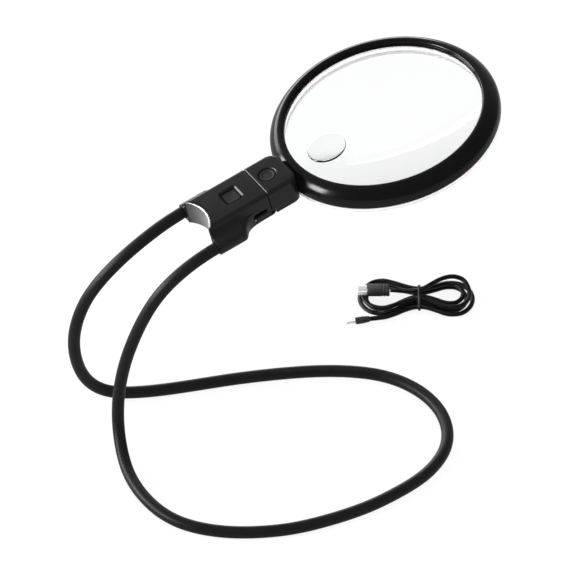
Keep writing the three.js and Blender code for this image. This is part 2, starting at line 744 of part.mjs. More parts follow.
// Neck tube: from the left socket down to the table, round the loop and up to the right socket.
// Its points were placed by hand as shares of the loop's length, its width and the sockets' height.
const neckRouteShares = [
  [-0.114, 0.117, 0.941], [-0.163, 0.121, 0.902], [-0.227, 0.139, 0.820], [-0.295, 0.180, 0.669],
  [-0.323, 0.208, 0.531], [-0.328, 0.233, 0.379], [-0.294, 0.259, 0.188], [-0.254, 0.270, 0.086],
  [-0.201, 0.266, 0.015], [-0.164, 0.254, 0.000], [-0.069, 0.205, 0.000], [0.031, 0.170, 0.000],
  [0.197, 0.117, 0.000], [0.360, 0.049, 0.000], [0.450, 0.000, 0.000], [0.544, -0.073, 0.000],
  [0.602, -0.146, 0.000], [0.641, -0.256, 0.000], [0.648, -0.356, 0.000], [0.628, -0.459, 0.000],
  [0.567, -0.572, 0.000], [0.451, -0.661, 0.000], [0.346, -0.694, 0.000], [0.208, -0.716, 0.000],
  [0.043, -0.705, 0.000], [-0.052, -0.684, 0.000], [-0.172, -0.624, 0.000], [-0.233, -0.577, 0.000],
  [-0.308, -0.483, 0.000], [-0.340, -0.382, 0.000], [-0.344, -0.245, 0.000], [-0.326, -0.132, 0.000],
  [-0.307, -0.057, 0.026], [-0.291, -0.001, 0.098], [-0.281, 0.020, 0.195], [-0.276, 0.014, 0.300],
  [-0.266, -0.007, 0.445], [-0.249, -0.028, 0.566], [-0.211, -0.061, 0.738], [-0.166, -0.088, 0.856],
  [-0.108, -0.107, 0.934],
];

// A point on a socket's axis, given along the body
function onSocket(along, side) {
  const level = tubeLevel + exitHeight;
  const [x, z] = [along * Math.cos(pitch), level + along * Math.sin(pitch)];
  return new THREE.Vector3(x, side * tubeSpacing / 2, z);
}

function neckRoute() {
  const bottom = socketDepth - gap;
  const straight = [bottom, bottom / 2, 0, -exitRun / 2, -exitRun];
  const leaving = straight.map((along) => onSocket(along, 1));
  const coming = straight.reverse().map((along) => onSocket(along, -1));
  const loop = neckRouteShares.map(([x, y, z]) => new THREE.Vector3(
    x * loopLength, y * loopWidth, tubeLevel + z * exitHeight));
  return new THREE.CatmullRomCurve3([...leaving, ...loop, ...coming], false, 'centripetal');
}

const neckSteps = 80;
const coreSides = 6;

// The part of the cradle's space between two stations along the body, seen from the stand
function cradleSlice(x0, x1) {
  const geometry = new THREE.BoxGeometry(x1 - x0, loopWidth, loopWidth / 2);
  geometry.translate((x0 + x1) / 2, 0, 0);
  cradle.updateMatrix();
  return solidOf(geometry.applyMatrix4(cradle.matrix));
}

const ferruleEnd = socketDepth - gap;
const ferruleStart = ferruleEnd - ferruleLength;

function neckTubeSleeve(path) {
  const outline = regular(tubeRadius, 10);
  outline.holes.push(regular(coreRadius + gap, coreSides, THREE.Path));
  const reach = loopLength + loopWidth;
  const table = block(-reach, reach, -reach, reach, -reach, 0);
  const stripped = cradleSlice(ferruleStart - gap, socketDepth + overrun);
  return swept(outline, path, neckSteps).subtract(table).subtract(stripped);
}

function ferrule(side) {
  const y = side * tubeSpacing / 2;
  const body = barX(tubeRadius, ferruleStart, ferruleEnd, y, 0, 20);
  return body.subtract(barX(coreRadius + gap, ferruleStart - overrun, ferruleEnd + overrun, y, 0, 12));
}

const neckPath = neckRoute();
piece('neck_tube_sleeve', neckTubeSleeve(neckPath), rubberBlack, stand);
piece('neck_tube_core', swept(regular(coreRadius, coreSides), neckPath, neckSteps), steel, stand);
piece('ferrule_left', ferrule(1), brass);
piece('ferrule_right', ferrule(-1), brass);

// Charging cable: long turns drawn in at the tie. They spiral in on the table, climb, and spiral out
// on top of themselves. The small plug is on the outer end. The other end crosses over to the middle
// of the hank, passes under the tie and ends in the wide plug, which lies across the turns.
const hank = new THREE.Group();
stand.add(hank);
hank.position.set(hankX, hankY, 0);
hank.rotation.z = 2 * Math.PI * hankTurnShare;
const cableRadius = cableDiameter / 2;
const cablePitch = cableDiameter + cableGap;
const tieLift = tieThickness + gap;
const turnSteps = 24;
const firstTurn = 4 / turnSteps;
const climbStart = 2;        // counted in turns from the outer end, as are the next three
const climbEnd = 2.5;
const reverseTurn = 2.25;
const lastTurn = 3.5;
const arcShare = 0.6;        // of a quarter turn, the rest of it being straight
const runShare = 2.2;        // a step of the swept cable, as a share of its diameter

function smooth(from, to, at) {
  const share = Math.min(1, Math.max(0, (at - from) / (to - from)));
  return share * share * (3 - 2 * share);
}

// Turns are counted from the left end and pass the near run first
function hankPoint(turns) {
  const inward = cablePitch * Math.min(turns, 2 * reverseTurn - turns);
  const [reach, round] = [hankLength / 2 - inward, hankWidth / 2 - inward];
  const quarters = 4 * (turns - Math.floor(turns));
  const fromEnd = Math.min(quarters, Math.abs(quarters - 2), 4 - quarters);
  const end = Math.abs(quarters - 2) < 1 ? 1 : -1;
  const side = quarters < 2 ? -1 : 1;
  const bend = Math.min(1, fromEnd / arcShare) * Math.PI / 2;
  const straight = Math.max(0, (fromEnd - arcShare) / (1 - arcShare));
  const x = end * ((reach - round) * (1 - straight) + round * Math.cos(bend));
  const drawn = Math.exp(-(((x - tieX) / waistLength) ** 2));
  const y = side * Math.sin(bend) * (round - hankWaist * drawn);
  const climb = (cableDiameter + layerGap) * smooth(climbStart, climbEnd, turns);
  return new THREE.Vector3(x, y, cableRadius + tieLift * drawn + climb);
}

// Placed by hand: out of the small plug to the first turn, and from the last turn to the wide plug
const startRoute = [[-25.0, -19.4, 2.0], [-20.8, -18.4, 1.8], [-16.6, -17.4, 1.7]];
const leadRoute = [
  [29.8, 5.2, 5.6], [27.2, 9.6, 7.2], [22.0, 10.8, 8.6], [16.0, 8.4, 9.3], [10.6, 4.5, 9.1], [6.0, 1.6, 8.0],
  [1.5, 0.3, 6.8], [-3.0, 0.0, 6.6], [-8.5, 0.0, 6.9], [-12.0, 0.0, 7.3],
];

function hankRoute() {
  const points = startRoute.map((at) => new THREE.Vector3(...at));
  for (let i = firstTurn * turnSteps; i <= lastTurn * turnSteps; i += 1) {
    points.push(hankPoint(i / turnSteps));
  }
  points.push(...leadRoute.map((at) => new THREE.Vector3(...at)));
  points.push(new THREE.Vector3(plugX + gap, 0, plugLift));
  return new THREE.CatmullRomCurve3(points, false, 'centripetal');
}

// Least clear distance between turns, measured on points three diameters or more apart along the cable
function leastGap(path) {
  const length = path.getLength();
  const perDiameter = 2;
  const points = path.getSpacedPoints(Math.round(perDiameter * length / cableDiameter));
  let least = length;
  for (let i = 0; i < points.length; i += 1) {
    for (let j = i + 3 * perDiameter; j < points.length; j += 1) {
      least = Math.min(least, points[i].distanceTo(points[j]));
    }
  }
  return least - cableDiameter;
}

function wideShell() {
  const [x0, x1] = [plugX - plugLength - shellLength, plugX - plugLength - gap];
  const [low, high] = [plugLift - shellHeight / 2, plugLift + shellHeight / 2];
  const inner = shellWidth / 2 - shellWall;
  const shell = block(x0, x1, -shellWidth / 2, shellWidth / 2, low, high);
  return shell.subtract(block(x0 - overrun, x1 - shellWall, -inner, inner, plugLift, high - shellWall));
}

// The small plug carries on from the cable's outer end, level on the table
function alongEnd(radius, from, length, sides) {
  const geometry = new THREE.CylinderGeometry(radius, radius, length, sides);
  geometry.rotateZ(Math.PI / 2);
  geometry.translate(-from - length / 2, 0, 0);
  const [start, next] = [cablePath.getPoint(0), cablePath.getTangent(0)];
  geometry.rotateZ(Math.atan2(next.y, next.x));
  geometry.translate(start.x, start.y, smallPlugRadius);
  return solidOf(geometry);
}

function tieBand() {
  const points = cablePath.getSpacedPoints(Math.round(cablePath.getLength() / cableRadius));
  const held = points.filter((at) => Math.abs(at.x - tieX) < tieLength);
  const [near, far] = [Math.min(...held.map((at) => at.y)), Math.max(...held.map((at) => at.y))];
  const top = Math.max(...held.map((at) => at.z));
  const frame = (out, Kind) => {
    const reach = cableRadius + gap + out;
    const [y0, y1, z0, z1] = [near - reach, far + reach, tieThickness - out, top + reach];
    return new Kind([[y0, z0], [y1, z0], [y1, z1], [y0, z1]].map((at) => new THREE.Vector2(...at)));
  };
  const shape = frame(tieThickness, THREE.Shape);
  shape.holes.push(frame(0, THREE.Path));
  return run(shape, tieX - tieLength / 2, tieX + tieLength / 2);
}

const cablePath = hankRoute();
const cableSteps = Math.round(cablePath.getLength() / (cableDiameter * runShare));
console.log(`cable ${cablePath.getLength().toFixed(0)} mm, least gap ${leastGap(cablePath).toFixed(2)} mm`);
const overmold = roundedRectangle(0, plugLift, plugWidth, plugHeight, plugHeight / 3);
piece('cable_hank', swept(regular(cableRadius, 6), cablePath, cableSteps), cableBlack, hank);
piece('cable_tie', tieBand(), rubberBlack, hank);
piece('wide_plug', run(overmold, plugX - plugLength, plugX), cableBlack, hank);
piece('wide_plug_shell', wideShell(), steel, hank);
piece('small_plug', alongEnd(smallPlugRadius, gap, smallPlugLength, 16), cableBlack, hank);
const smallTip = alongEnd(smallTipRadius, smallPlugLength + 2 * gap, smallTipLength, 12);
piece('small_plug_tip', smallTip, steel, hank);

// The origin is the middle of the magnifier's own box, on the table; the cable isn't counted
magnifier.updateMatrixWorld(true);
const bounds = new THREE.Box3().setFromObject(cradle, true);
for (const mesh of stand.children.filter((child) => child.isMesh)) bounds.expandByObject(mesh, true);
const middle = bounds.getCenter(new THREE.Vector3());
stand.position.set(-middle.x, -middle.y, 0);

export default magnifier;
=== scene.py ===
# Hands-free neck magnifier: a lit lens head on a folding stem, held by a body on a bendable neck loop.
import json
from math import asin, atan2, cos, exp, hypot, pi, radians, sin, sqrt

import bmesh
import bpy
from mathutils import Matrix, Vector, geometry


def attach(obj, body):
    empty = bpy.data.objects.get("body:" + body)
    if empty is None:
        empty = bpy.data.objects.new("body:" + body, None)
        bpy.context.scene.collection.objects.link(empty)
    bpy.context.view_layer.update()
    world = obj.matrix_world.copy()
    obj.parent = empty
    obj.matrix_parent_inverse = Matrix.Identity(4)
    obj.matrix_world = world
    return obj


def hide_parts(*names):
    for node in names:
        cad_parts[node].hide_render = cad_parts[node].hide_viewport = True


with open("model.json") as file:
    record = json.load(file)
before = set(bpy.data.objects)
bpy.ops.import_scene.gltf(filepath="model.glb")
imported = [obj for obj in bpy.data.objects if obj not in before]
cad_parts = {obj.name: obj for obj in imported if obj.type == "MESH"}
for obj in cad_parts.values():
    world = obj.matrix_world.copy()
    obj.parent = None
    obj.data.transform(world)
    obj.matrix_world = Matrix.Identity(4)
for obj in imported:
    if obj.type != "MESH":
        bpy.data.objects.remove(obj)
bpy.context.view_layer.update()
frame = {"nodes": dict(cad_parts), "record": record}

# Camera and stage.
# A long lens stands off the magnifier's right front corner and looks down on it. The floor and the world behind
# it are plain and pale. Of the five soft lamps, the three at the back and the left show in its glossy pieces.
mm = 0.001
body_length = 38
hinge_height = -2.3
pitch = radians(14)
hinge = Vector(frame["record"]["behaviour"]["joints"][0]["pos_m"])
shift = Matrix.Translation
tilt = Matrix.Rotation(-pitch, 4, "Y")
sockets = hinge - tilt @ Vector((body_length, 0, hinge_height)) * mm
stand = shift((sockets.x, sockets.y, 0)) @ Matrix.Scale(mm, 4)
cradle = shift(sockets) @ tilt @ Matrix.Scale(mm, 4)

view_azimuth = radians(-30)
view_elevation = radians(37.4)
view_distance = 5.0
view_width = 0.31135
sensor_width = 36
aim_right, aim_up = 0.0475, -0.0314
facing = Matrix.Rotation(view_azimuth, 3, "Z") @ Matrix.Rotation(pi / 2 - view_elevation, 3, "X")


def linked(name, data):
    """A new object in the scene."""
    item = bpy.data.objects.new(name, data)
    bpy.context.scene.collection.objects.link(item)
    return item


camera_data = bpy.data.cameras.new("camera")
camera_data.sensor_width = sensor_width
camera_data.lens = sensor_width * view_distance / view_width
camera_data.clip_end = view_distance * 4
camera = linked("camera", camera_data)
camera.location = sockets + facing @ Vector((aim_right, aim_up, view_distance))
camera.rotation_euler = facing.to_euler()
bpy.context.scene.camera = camera
bpy.context.scene.view_settings.view_transform = "Standard"

white = (1, 1, 1, 1)
floor_reach, floor_sink = 3.0, 0.0002
floor_tone = 0.86
floor_plain_share = 0.86
floor_mirrored = 0.58
world_light = 0.65
world_mirrored_front, world_mirrored_back = 0.07, 0.36
world_front, world_back = -0.25, 0.65


def adder(tree):
    """A function that adds a node to a tree. It gives sockets, in order or by name, a value or a link."""

    def feed(socket, value):
        if isinstance(value, list):
            for one in value:
                feed(socket, one)
        elif isinstance(value, bpy.types.Node):
            tree.links.new(value.outputs[0], socket)
        elif isinstance(value, bpy.types.NodeSocket):
            tree.links.new(value, socket)
        else:
            socket.default_value = value

    def add(kind, *in_order, **named):
        node = tree.nodes.new(kind)
        for key, value in named.items():
            if key in node.bl_rna.properties:
                setattr(node, key, value)
            else:
                feed(node.inputs[key.replace("_", " ")], value)
        for socket, value in zip(node.inputs, in_order):
            feed(socket, value)
        return node

    return add


def new_material(name):
    """An empty node material, and a function that adds its nodes."""
    material = bpy.data.materials.new(name)
    material.use_nodes = True
    material.node_tree.nodes.clear()
    return material, adder(material.node_tree)


def by_ray(add, lit, mirrored, plain, plain_share):
    """Mixes three shaders by the kind of ray: one that lights, one that is mirrored and one that is seen."""
    path = add("ShaderNodeLightPath").outputs
    seen = add("ShaderNodeMath", path["Is Camera Ray"], path["Is Transmission Ray"], operation="MAXIMUM")
    glossy = add("ShaderNodeMath", path["Is Glossy Ray"], seen, operation="SUBTRACT", use_clamp=True)
    unseen = add("ShaderNodeMixShader", glossy, lit, mirrored)
    share = add("ShaderNodeMath", seen, plain_share, operation="MULTIPLY")
    return add("ShaderNodeMixShader", share, unseen, plain)


def floor_material():
    """White where it is seen, greyer in reflections, and lit as a pale floor otherwise."""
    material, add = new_material("pale_floor")
    lit = add("ShaderNodeBsdfDiffuse", Color=(floor_tone, floor_tone, floor_tone, 1))
    mirrored, plain = [add("ShaderNodeEmission", Color=white, Strength=s) for s in (floor_mirrored, 1.0)]
    add("ShaderNodeOutputMaterial", Surface=by_ray(add, lit, mirrored, plain, floor_plain_share))
    return material


def studio_world():
    """A soft even light, dim in reflections but for the back, and plain white where it is seen."""
    world = bpy.data.worlds.new("studio")
    bpy.context.scene.world = world
    world.use_nodes = True
    world.node_tree.nodes.clear()
    add = adder(world.node_tree)
    heading = add("ShaderNodeSeparateXYZ", add("ShaderNodeTexCoord").outputs["Generated"]).outputs["Y"]
    fade = add(
        "ShaderNodeMapRange", interpolation_type="SMOOTHSTEP", Value=heading, From_Min=world_front,
        From_Max=world_back, To_Min=world_mirrored_front, To_Max=world_mirrored_back,
    )
    strengths = (world_light, fade, 1.0)
    lit, mirrored, plain = [add("ShaderNodeBackground", Color=white, Strength=s) for s in strengths]
    add("ShaderNodeOutputWorld", Surface=by_ray(add, lit, mirrored, plain, 1.0))


def lamp(name, place, aim, size, power, mirrored=True):
    """A soft rectangular lamp. One that isn't mirrored lights the pieces but doesn't show in them."""
    data = bpy.data.lights.new(name, "AREA")
    data.shape = "RECTANGLE"
    data.size, data.size_y = size
    data.energy = power
    light = linked(name, data)
    light.visible_glossy = mirrored
    light.location = place
    light.rotation_euler = (Vector(place) - Vector(aim)).to_track_quat("Z", "Y").to_euler()


floor_corners = [(x * floor_reach, y * floor_reach, 0) for x, y in ((-1, -1), (1, -1), (1, 1), (-1, 1))]
floor_mesh = bpy.data.meshes.new("floor")
floor_mesh.from_pydata(floor_corners, [], [(0, 1, 2, 3)])
floor_mesh.materials.append(floor_material())
floor = linked("floor", floor_mesh)
floor.location.z = -floor_sink
studio_world()
lamp("overhead", (0.0, -0.35, 1.3), (0, 0, 0.1), (0.9, 0.7), 8, mirrored=False)
lamp("back_left", (-1.12, 1.07, 0.36), (0, 0, 0.14), (0.7, 0.4), 20)
lamp("left_window", (-1.3, 0.3, 0.4), (0.02, 0, 0.16), (0.34, 0.34), 13)
lamp("back_wall", (0.1, 2.0, 0.4), (0, 0, 0.16), (2.4, 0.8), 28)
lamp("front_fill", (0.6, -1.2, 0.6), (0, 0, 0.1), (0.9, 0.5), 7, mirrored=False)

# Charging cable.
# A thin black cable, folded in two layers of long turns that a tie draws in at the middle. One end goes into
# the small plug on the table, and the other crosses over the turns to the wide plug.
cable_diameter = 2.6
cable_pitch = 3.6
cable_rise = 3.15
rise_start, rise_end = 2, 2.5
hank_half_length = 34.2
hank_half_width = 20.5
hank_waist = 10.6
waist_length = 16
tie_x = 2.5
tie_lift = 1.1
turn_steps = 24
first_step = 4
hank_turns = 3.5
reverse_turn = 2.25
arc_share = 0.6
hank_place = (156.4, 34.5, 0)
hank_angle = radians(-30)
hank_frame = stand @ shift(hank_place) @ Matrix.Rotation(hank_angle, 4, "Z")
small_plug_route = [(-25.0, -19.4, 2.0), (-20.8, -18.4, 1.8), (-16.6, -17.4, 1.7)]
lead_route = [
    (29.8, 5.2, 5.6), (27.2, 9.6, 7.2), (22.0, 10.8, 8.6), (16.0, 8.4, 9.3), (10.6, 4.5, 9.1), (6.0, 1.6, 8.0),
    (1.5, 0.3, 6.8), (-3, 0, 6.6), (-8.5, 0, 6.9), (-12, 0, 7.3), (-13.7, 0, 7.3),
]


def smooth(low, high, at):
    """A soft step from 0 at low to 1 at high."""
    share = min(1, max(0, (at - low) / (high - low)))
    return share * share * (3 - 2 * share)


def hank_point(turns):
    """A point on the cable, counted in turns from the left end and past the near run first."""
    inward = cable_pitch * min(turns, 2 * reverse_turn - turns)
    reach, bow = hank_half_length - inward, hank_half_width - inward
    quarters = 4 * (turns % 1)
    from_end = min(quarters, abs(quarters - 2), 4 - quarters)
    end = 1 if abs(quarters - 2) < 1 else -1
    side = -1 if quarters < 2 else 1
    bend = min(1, from_end / arc_share) * pi / 2
    straight = max(0, (from_end - arc_share) / (1 - arc_share))
    x = end * ((reach - bow) * (1 - straight) + bow * cos(bend))
    drawn_in = exp(-(((x - tie_x) / waist_length) ** 2))
    y = side * sin(bend) * (bow - hank_waist * drawn_in)
    return x, y, cable_diameter / 2 + tie_lift * drawn_in + cable_rise * smooth(rise_start, rise_end, turns)


def through(points, steps):
    """A smooth line through points, bent least where they stand close together."""
    points = [Vector(p) for p in points]
    ends = [2 * points[0] - points[1], *points, 2 * points[-1] - points[-2]]
    line = [points[0]]
    for before, start, stop, after in zip(ends, ends[1:], ends[2:], ends[3:]):
        a, b, c = [(q - p).length ** 0.5 for p, q in ((before, start), (start, stop), (stop, after))]
        leave = ((start - before) / a - (stop - before) / (a + b) + (stop - start) / b) * b
        arrive = ((stop - start) / b - (after - start) / (b + c) + (after - stop) / c) * b
        for i in range(1, steps + 1):
            t = i / steps
            line.append(
                start * (2 * t**3 - 3 * t**2 + 1) + leave * (t**3 - 2 * t**2 + t)
                + stop * (3 * t**2 - 2 * t**3) + arrive * (t**3 - t**2)
            )
    return line


def finish(name, color, patches, tones, gloss=None, grain=None, **sockets):
    """A finish whose tone, and gloss where its range is given, vary in soft patches, with a fine grain."""
    material, add = new_material(name)
    place = add("ShaderNodeTexCoord").outputs["Object"]
    patch_scale, patch_detail = patches
    noise = add("ShaderNodeTexNoise", Vector=place, Scale=patch_scale, Detail=patch_detail)
    tone = add("ShaderNodeMixRGB", noise, *[(*[min(1, c * share) for c in color], 1) for share in tones])
    if gloss:
        sockets["Roughness"] = add("ShaderNodeMapRange", Value=noise, To_Min=gloss[0], To_Max=min(1, gloss[1]))
    if grain:
        grain_scale, grain_detail, grain_depth, grain_strength = grain
        fine = add("ShaderNodeTexNoise", Vector=place, Scale=grain_scale, Detail=grain_detail)
        sockets["Normal"] = add("ShaderNodeBump", Height=fine, Distance=grain_depth, Strength=grain_strength)
    shader = add("ShaderNodeBsdfPrincipled", Base_Color=tone, **sockets)
    add("ShaderNodeOutputMaterial", Surface=shader)
    return material


def plain_finish(name, color, roughness, metallic=0.0, grain=0.0, grain_scale=900.0, mottle=0.15, specular=0.5,
                 glow=0.0):
    """A moulded, rubber or metal finish."""
    return finish(
        name, color, (60.0, 4.0), (1 - mottle, 1 + mottle), (roughness * 0.85, roughness * 1.15),
        (grain_scale, 3.0, 0.0002, grain) if grain else None, Metallic=metallic, Specular_IOR_Level=specular,
        Emission_Color=white, Emission_Strength=glow,
    )


def full_turn(steps):
    return [2 * pi * i / steps for i in range(steps)]


def tile(length, width, radius, steps=8):
    """An outline that can grow: points round a rectangle with rounded corners."""

    def outline(grow):
        points = []
        for quadrant, (side_x, side_y) in enumerate(((1, 1), (-1, 1), (-1, -1), (1, -1))):
            for i in range(steps + 1):
                angle = (quadrant + i / steps) * pi / 2
                x = side_x * (length / 2 - radius) + (radius + grow) * cos(angle)
                points.append((x, side_y * (width / 2 - radius) + (radius + grow) * sin(angle)))
        return points

    return outline


def disc(radius, steps=8):
    """An outline that can grow: points round a circle."""
    return tile(2 * radius, 2 * radius, radius, steps)


def skinned(rings, looped=False, closed=True):
    """A closed solid through rings of as many points each. Rings that aren't looped get a face at each end."""
    solid = bmesh.new()
    rows = [[solid.verts.new(p) for p in ring] for ring in rings]
    for low, high in zip(rows, rows[1:] + (rows[:1] if looped else [])):
        for i in range(len(low) if closed else len(low) - 1):
            j = (i + 1) % len(low)
            solid.faces.new((low[i], low[j], high[j], high[i]))
    if not looped:
        solid.faces.new(rows[0][::-1])
        solid.faces.new(rows[-1])
    bmesh.ops.remove_doubles(solid, verts=solid.verts, dist=0.0005)
    bmesh.ops.recalc_face_normals(solid, faces=solid.faces)
    if solid.calc_volume(signed=True) < 0:
        bmesh.ops.reverse_faces(solid, faces=solid.faces)
    return solid


def drawn(axis, levels, outline):
    """A solid drawn along an axis: each level is a place and how far the outline grows there."""
    lay = {"X": lambda u, v, w: (w, u, v), "Y": lambda u, v, w: (u, w, v), "Z": lambda u, v, w: (u, v, w)}[axis]
    return skinned([[lay(u, v, at) for u, v in outline(grow)] for at, grow in levels])


def added(name, mesh, body, replaced, sharp):
    """A piece with a mesh: shaded smooth but for its sharp edges, and tied to the frame."""
    mesh.polygons.foreach_set("use_smooth", [True] * len(mesh.polygons))
    mesh.set_sharp_from_angle(angle=radians(sharp))
    piece = linked(name, mesh)
    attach(piece, body)
    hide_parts(*replaced)
    return piece


def meshed(name, solid):
    """A mesh that takes the place of a solid."""
    mesh = bpy.data.meshes.new(name)
    solid.to_mesh(mesh)
    solid.free()
    return mesh


def finished(name, solid, place, material, body, replaced, sharp=35):
    """A piece made from a solid and put in its place."""
    solid.transform(place)
    mesh = meshed(name, solid)
    mesh.materials.append(material)
    return added(name, mesh, body, replaced, sharp)


def merged(whole, other):
    """Two closed solids as one mesh."""
    work = meshed("work", other)
    whole.from_mesh(work)
    bpy.data.meshes.remove(work)
    return whole


cable_black = plain_finish(
    "cable_black", (0.003, 0.003, 0.0032), 0.34, grain=0.05, grain_scale=1500, specular=0.2
)
tie_black = plain_finish("tie_black", (0.006, 0.006, 0.006), 0.4, grain=0.2, specular=0.35)
plug_black = plain_finish("plug_black", (0.014, 0.014, 0.0145), 0.5, grain=0.12, specular=0.3)
plug_metal = plain_finish("plug_metal", (0.80, 0.80, 0.81), 0.25, metallic=0.6, grain=0.05, mottle=0.06)

hank_steps = range(first_step, int(hank_turns * turn_steps) + 1)
cable_line = through(small_plug_route + [hank_point(i / turn_steps) for i in hank_steps] + lead_route, 3)
cable_points = [hank_frame @ p for p in cable_line]
cable_curve = bpy.data.curves.new("charging_cable", "CURVE")
cable_curve.dimensions = "3D"
cable_curve.bevel_depth = cable_diameter / 2 * mm
cable_curve.bevel_resolution = 6
cable_curve.use_fill_caps = True
cable_spline = cable_curve.splines.new("POLY")
cable_spline.points.add(len(cable_points) - 1)
cable_spline.points.foreach_set("co", [c for p in cable_points for c in (*p, 1)])
cable_spline.use_smooth = True
cable_curve.materials.append(cable_black)
cable = linked("charging_cable", cable_curve)
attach(cable, "root")
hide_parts("cable_hank")

tie_reach = 1.3
tie_clearance = 0.3
tie_levels = [(-0.75, 0.45), (-0.5, 0.7), (0.5, 0.7), (0.75, 0.45), (0.75, 0), (-0.75, 0)]
tie_lowest = 0.05
ray_length = 40


def tie_solid():
    """A band drawn tight round the turns: out round its outside, then back along its inside."""
    held = [p for p in cable_line if abs(p.x - tie_x) < tie_reach]
    radius = cable_diameter / 2 + tie_clearance
    round_held = [(p.y + radius * cos(t), p.z + radius * sin(t)) for p in held for t in full_turn(16)]
    hull = [Vector(round_held[i]) for i in geometry.convex_hull_2d(round_held)]
    middle = sum(hull, Vector((0, 0))) / len(hull)
    rays = [Vector((cos(t), sin(t))) for t in full_turn(72)]
    inside = []
    for ray in rays:
        for a, b in zip(hull, hull[1:] + hull[:1]):
            hit = geometry.intersect_line_line_2d(middle, middle + ray * ray_length, a, b)
            if hit:
                inside.append(hit)
                break
    return skinned([
        [(tie_x + x, p.x + r.x * out, max(tie_lowest, p.y + r.y * out)) for p, r in zip(inside, rays)]
        for x, out in tie_levels
    ], looped=True)


tie = finished("cable_tie_band", tie_solid(), hank_frame, tie_black, "root", ["cable_tie"])

plug_x, plug_lift = -14, 7.3
plug_rear = -12.4
plug_levels = [
    (plug_rear, -0.5), (plug_rear + 0.15, -0.2), (plug_rear + 0.5, 0), (-4.2, 0), (-3.9, -0.25), (-3.5, -0.25),
    (-3.2, 0), (-2.6, 0), (-2.3, -0.25), (-1.9, -0.25), (-1.6, 0), (-0.5, -0.1), (0, -0.6),
]
plug_place = hank_frame @ shift((plug_x, 0, plug_lift))
plug_solid = drawn("X", plug_levels, tile(8, 4.6, 1.8, 6))
wide_plug = finished("wide_plug_body", plug_solid, plug_place, plug_black, "root", ["wide_plug"])


def plug_shell_solid():
    """The folded metal mouth of the wide plug: a box, open at its far end, with a tongue in it."""
    near, far = plug_rear - 0.3, plug_rear - 5.5
    wall = 0.4
    levels = [(near, 0), (far + 0.15, 0), (far, -0.12), (far, -wall), (near - wall, -wall)]
    tongue = [(-2.7, -0.8), (2.7, -0.8), (2.7, -0.1), (-2.7, -0.1)]
    shell = drawn("X", levels, tile(6.6, 2.6, 0.5, 3))
    return merged(shell, skinned([[(x, y, z) for y, z in tongue] for x in (near - wall, far + 0.7)]))


plug_shell = finished(
    "wide_plug_mouth", plug_shell_solid(), plug_place, plug_metal, "root", ["wide_plug_shell"]
)

small_start, small_heading = cable_line[0], cable_line[1] - cable_line[0]
small_place = hank_frame @ shift((small_start.x, small_start.y, 2)) @ Matrix.Rotation(
    atan2(small_heading.y, small_heading.x), 4, "Z"
)
small_levels = [
    (-8.3, -0.35), (-8.15, -0.1), (-7.9, 0), (-3.1, 0), (-2.9, -0.3), (-2.5, -0.3), (-2.3, -0.05), (-1.8, -0.1),
    (-1.6, -0.4), (-1.2, -0.4), (-1.0, -0.15), (-0.5, -0.35), (-0.3, -0.6),
]
small_solid = drawn("X", small_levels, disc(2))
small_plug = finished(
    "small_plug_body", small_solid, small_place, plug_black, "root", ["small_plug"]
)
tip_levels = [
    (-14.1, -0.6), (-13.9, -0.25), (-13.6, 0), (-10.9, 0), (-10.8, -0.2), (-10.5, -0.2), (-10.4, 0), (-8.6, 0)
]
tip_solid = drawn("X", tip_levels, disc(1.2, 6))
small_tip = finished("small_plug_pin", tip_solid, small_place, plug_metal, "root", ["small_plug_tip"])

cable_length = sum((b - a).length for a, b in zip(cable_points, cable_points[1:]))
tuple(cable_points[0])

# Neck tube.
# A soft rubber sleeve over a steel wire that keeps its bend. It runs from one socket down to the table, round
# the loop that lies there and up to the other socket, and it is flattened a little where it rests.
tube_radius = 3.4
tube_sides = 32
tube_level = 2.9
exit_height = 128
loop_length, loop_width = 180, 160
half_spacing = 18.5
sleeve_end = 10.4
route_scale = 1000
neck_route_parts = [
    (-114, 117, 941), (-163, 121, 902), (-227, 139, 820), (-295, 180, 669), (-323, 208, 531), (-328, 233, 379),
    (-294, 259, 188), (-254, 270, 86), (-201, 266, 15), (-164, 254, 0), (-69, 205, 0), (31, 170, 0),
    (197, 117, 0), (360, 49, 0), (450, 0, 0), (544, -73, 0), (602, -146, 0), (641, -256, 0), (648, -356, 0),
    (628, -459, 0), (567, -572, 0), (451, -661, 0), (346, -694, 0), (208, -716, 0), (43, -705, 0),
    (-52, -684, 0), (-172, -624, 0), (-233, -577, 0), (-308, -483, 0), (-340, -382, 0), (-344, -245, 0),
    (-326, -132, 0), (-307, -57, 26), (-291, -1, 98), (-281, 20, 195), (-276, 14, 300), (-266, -7, 445),
    (-249, -28, 566), (-211, -61, 738), (-166, -88, 856), (-108, -107, 934),
]


def on_socket(distance, side):
    """A point on a socket's axis, seen from the stand."""
    height = tube_level + exit_height + distance * sin(pitch)
    return distance * cos(pitch), side * half_spacing, height


straight = [sleeve_end, sleeve_end / 2, 0, -5, -10]
neck_route = [on_socket(d, 1) for d in straight]
for part in neck_route_parts:
    x, y, z = [p / route_scale for p in part]
    neck_route.append((x * loop_length, y * loop_width, tube_level + z * exit_height))
neck_route += [on_socket(d, -1) for d in reversed(straight)]


def eased(line, spacing, rounds, held):
    """The line in even steps with its small waves taken out, and its two ends held."""
    marks, even = 0.0, [line[0]]
    for a, b in zip(line, line[1:]):
        reach = (b - a).length
        while marks + reach >= spacing:
            a = a + (b - a) * ((spacing - marks) / reach)
            even.append(a)
            reach, marks = (b - a).length, 0.0
        marks += reach
    even.append(line[-1])
    for _ in range(rounds):
        mids = [(a + 2 * b + c) / 4 for a, b, c in zip(even, even[1:], even[2:])]
        even = even[:held] + mids[held - 1:len(mids) - held + 1] + even[-held:]
    return even


neck_line = [stand @ p for p in eased(through(neck_route, 12), spacing=3, rounds=14, held=5)]


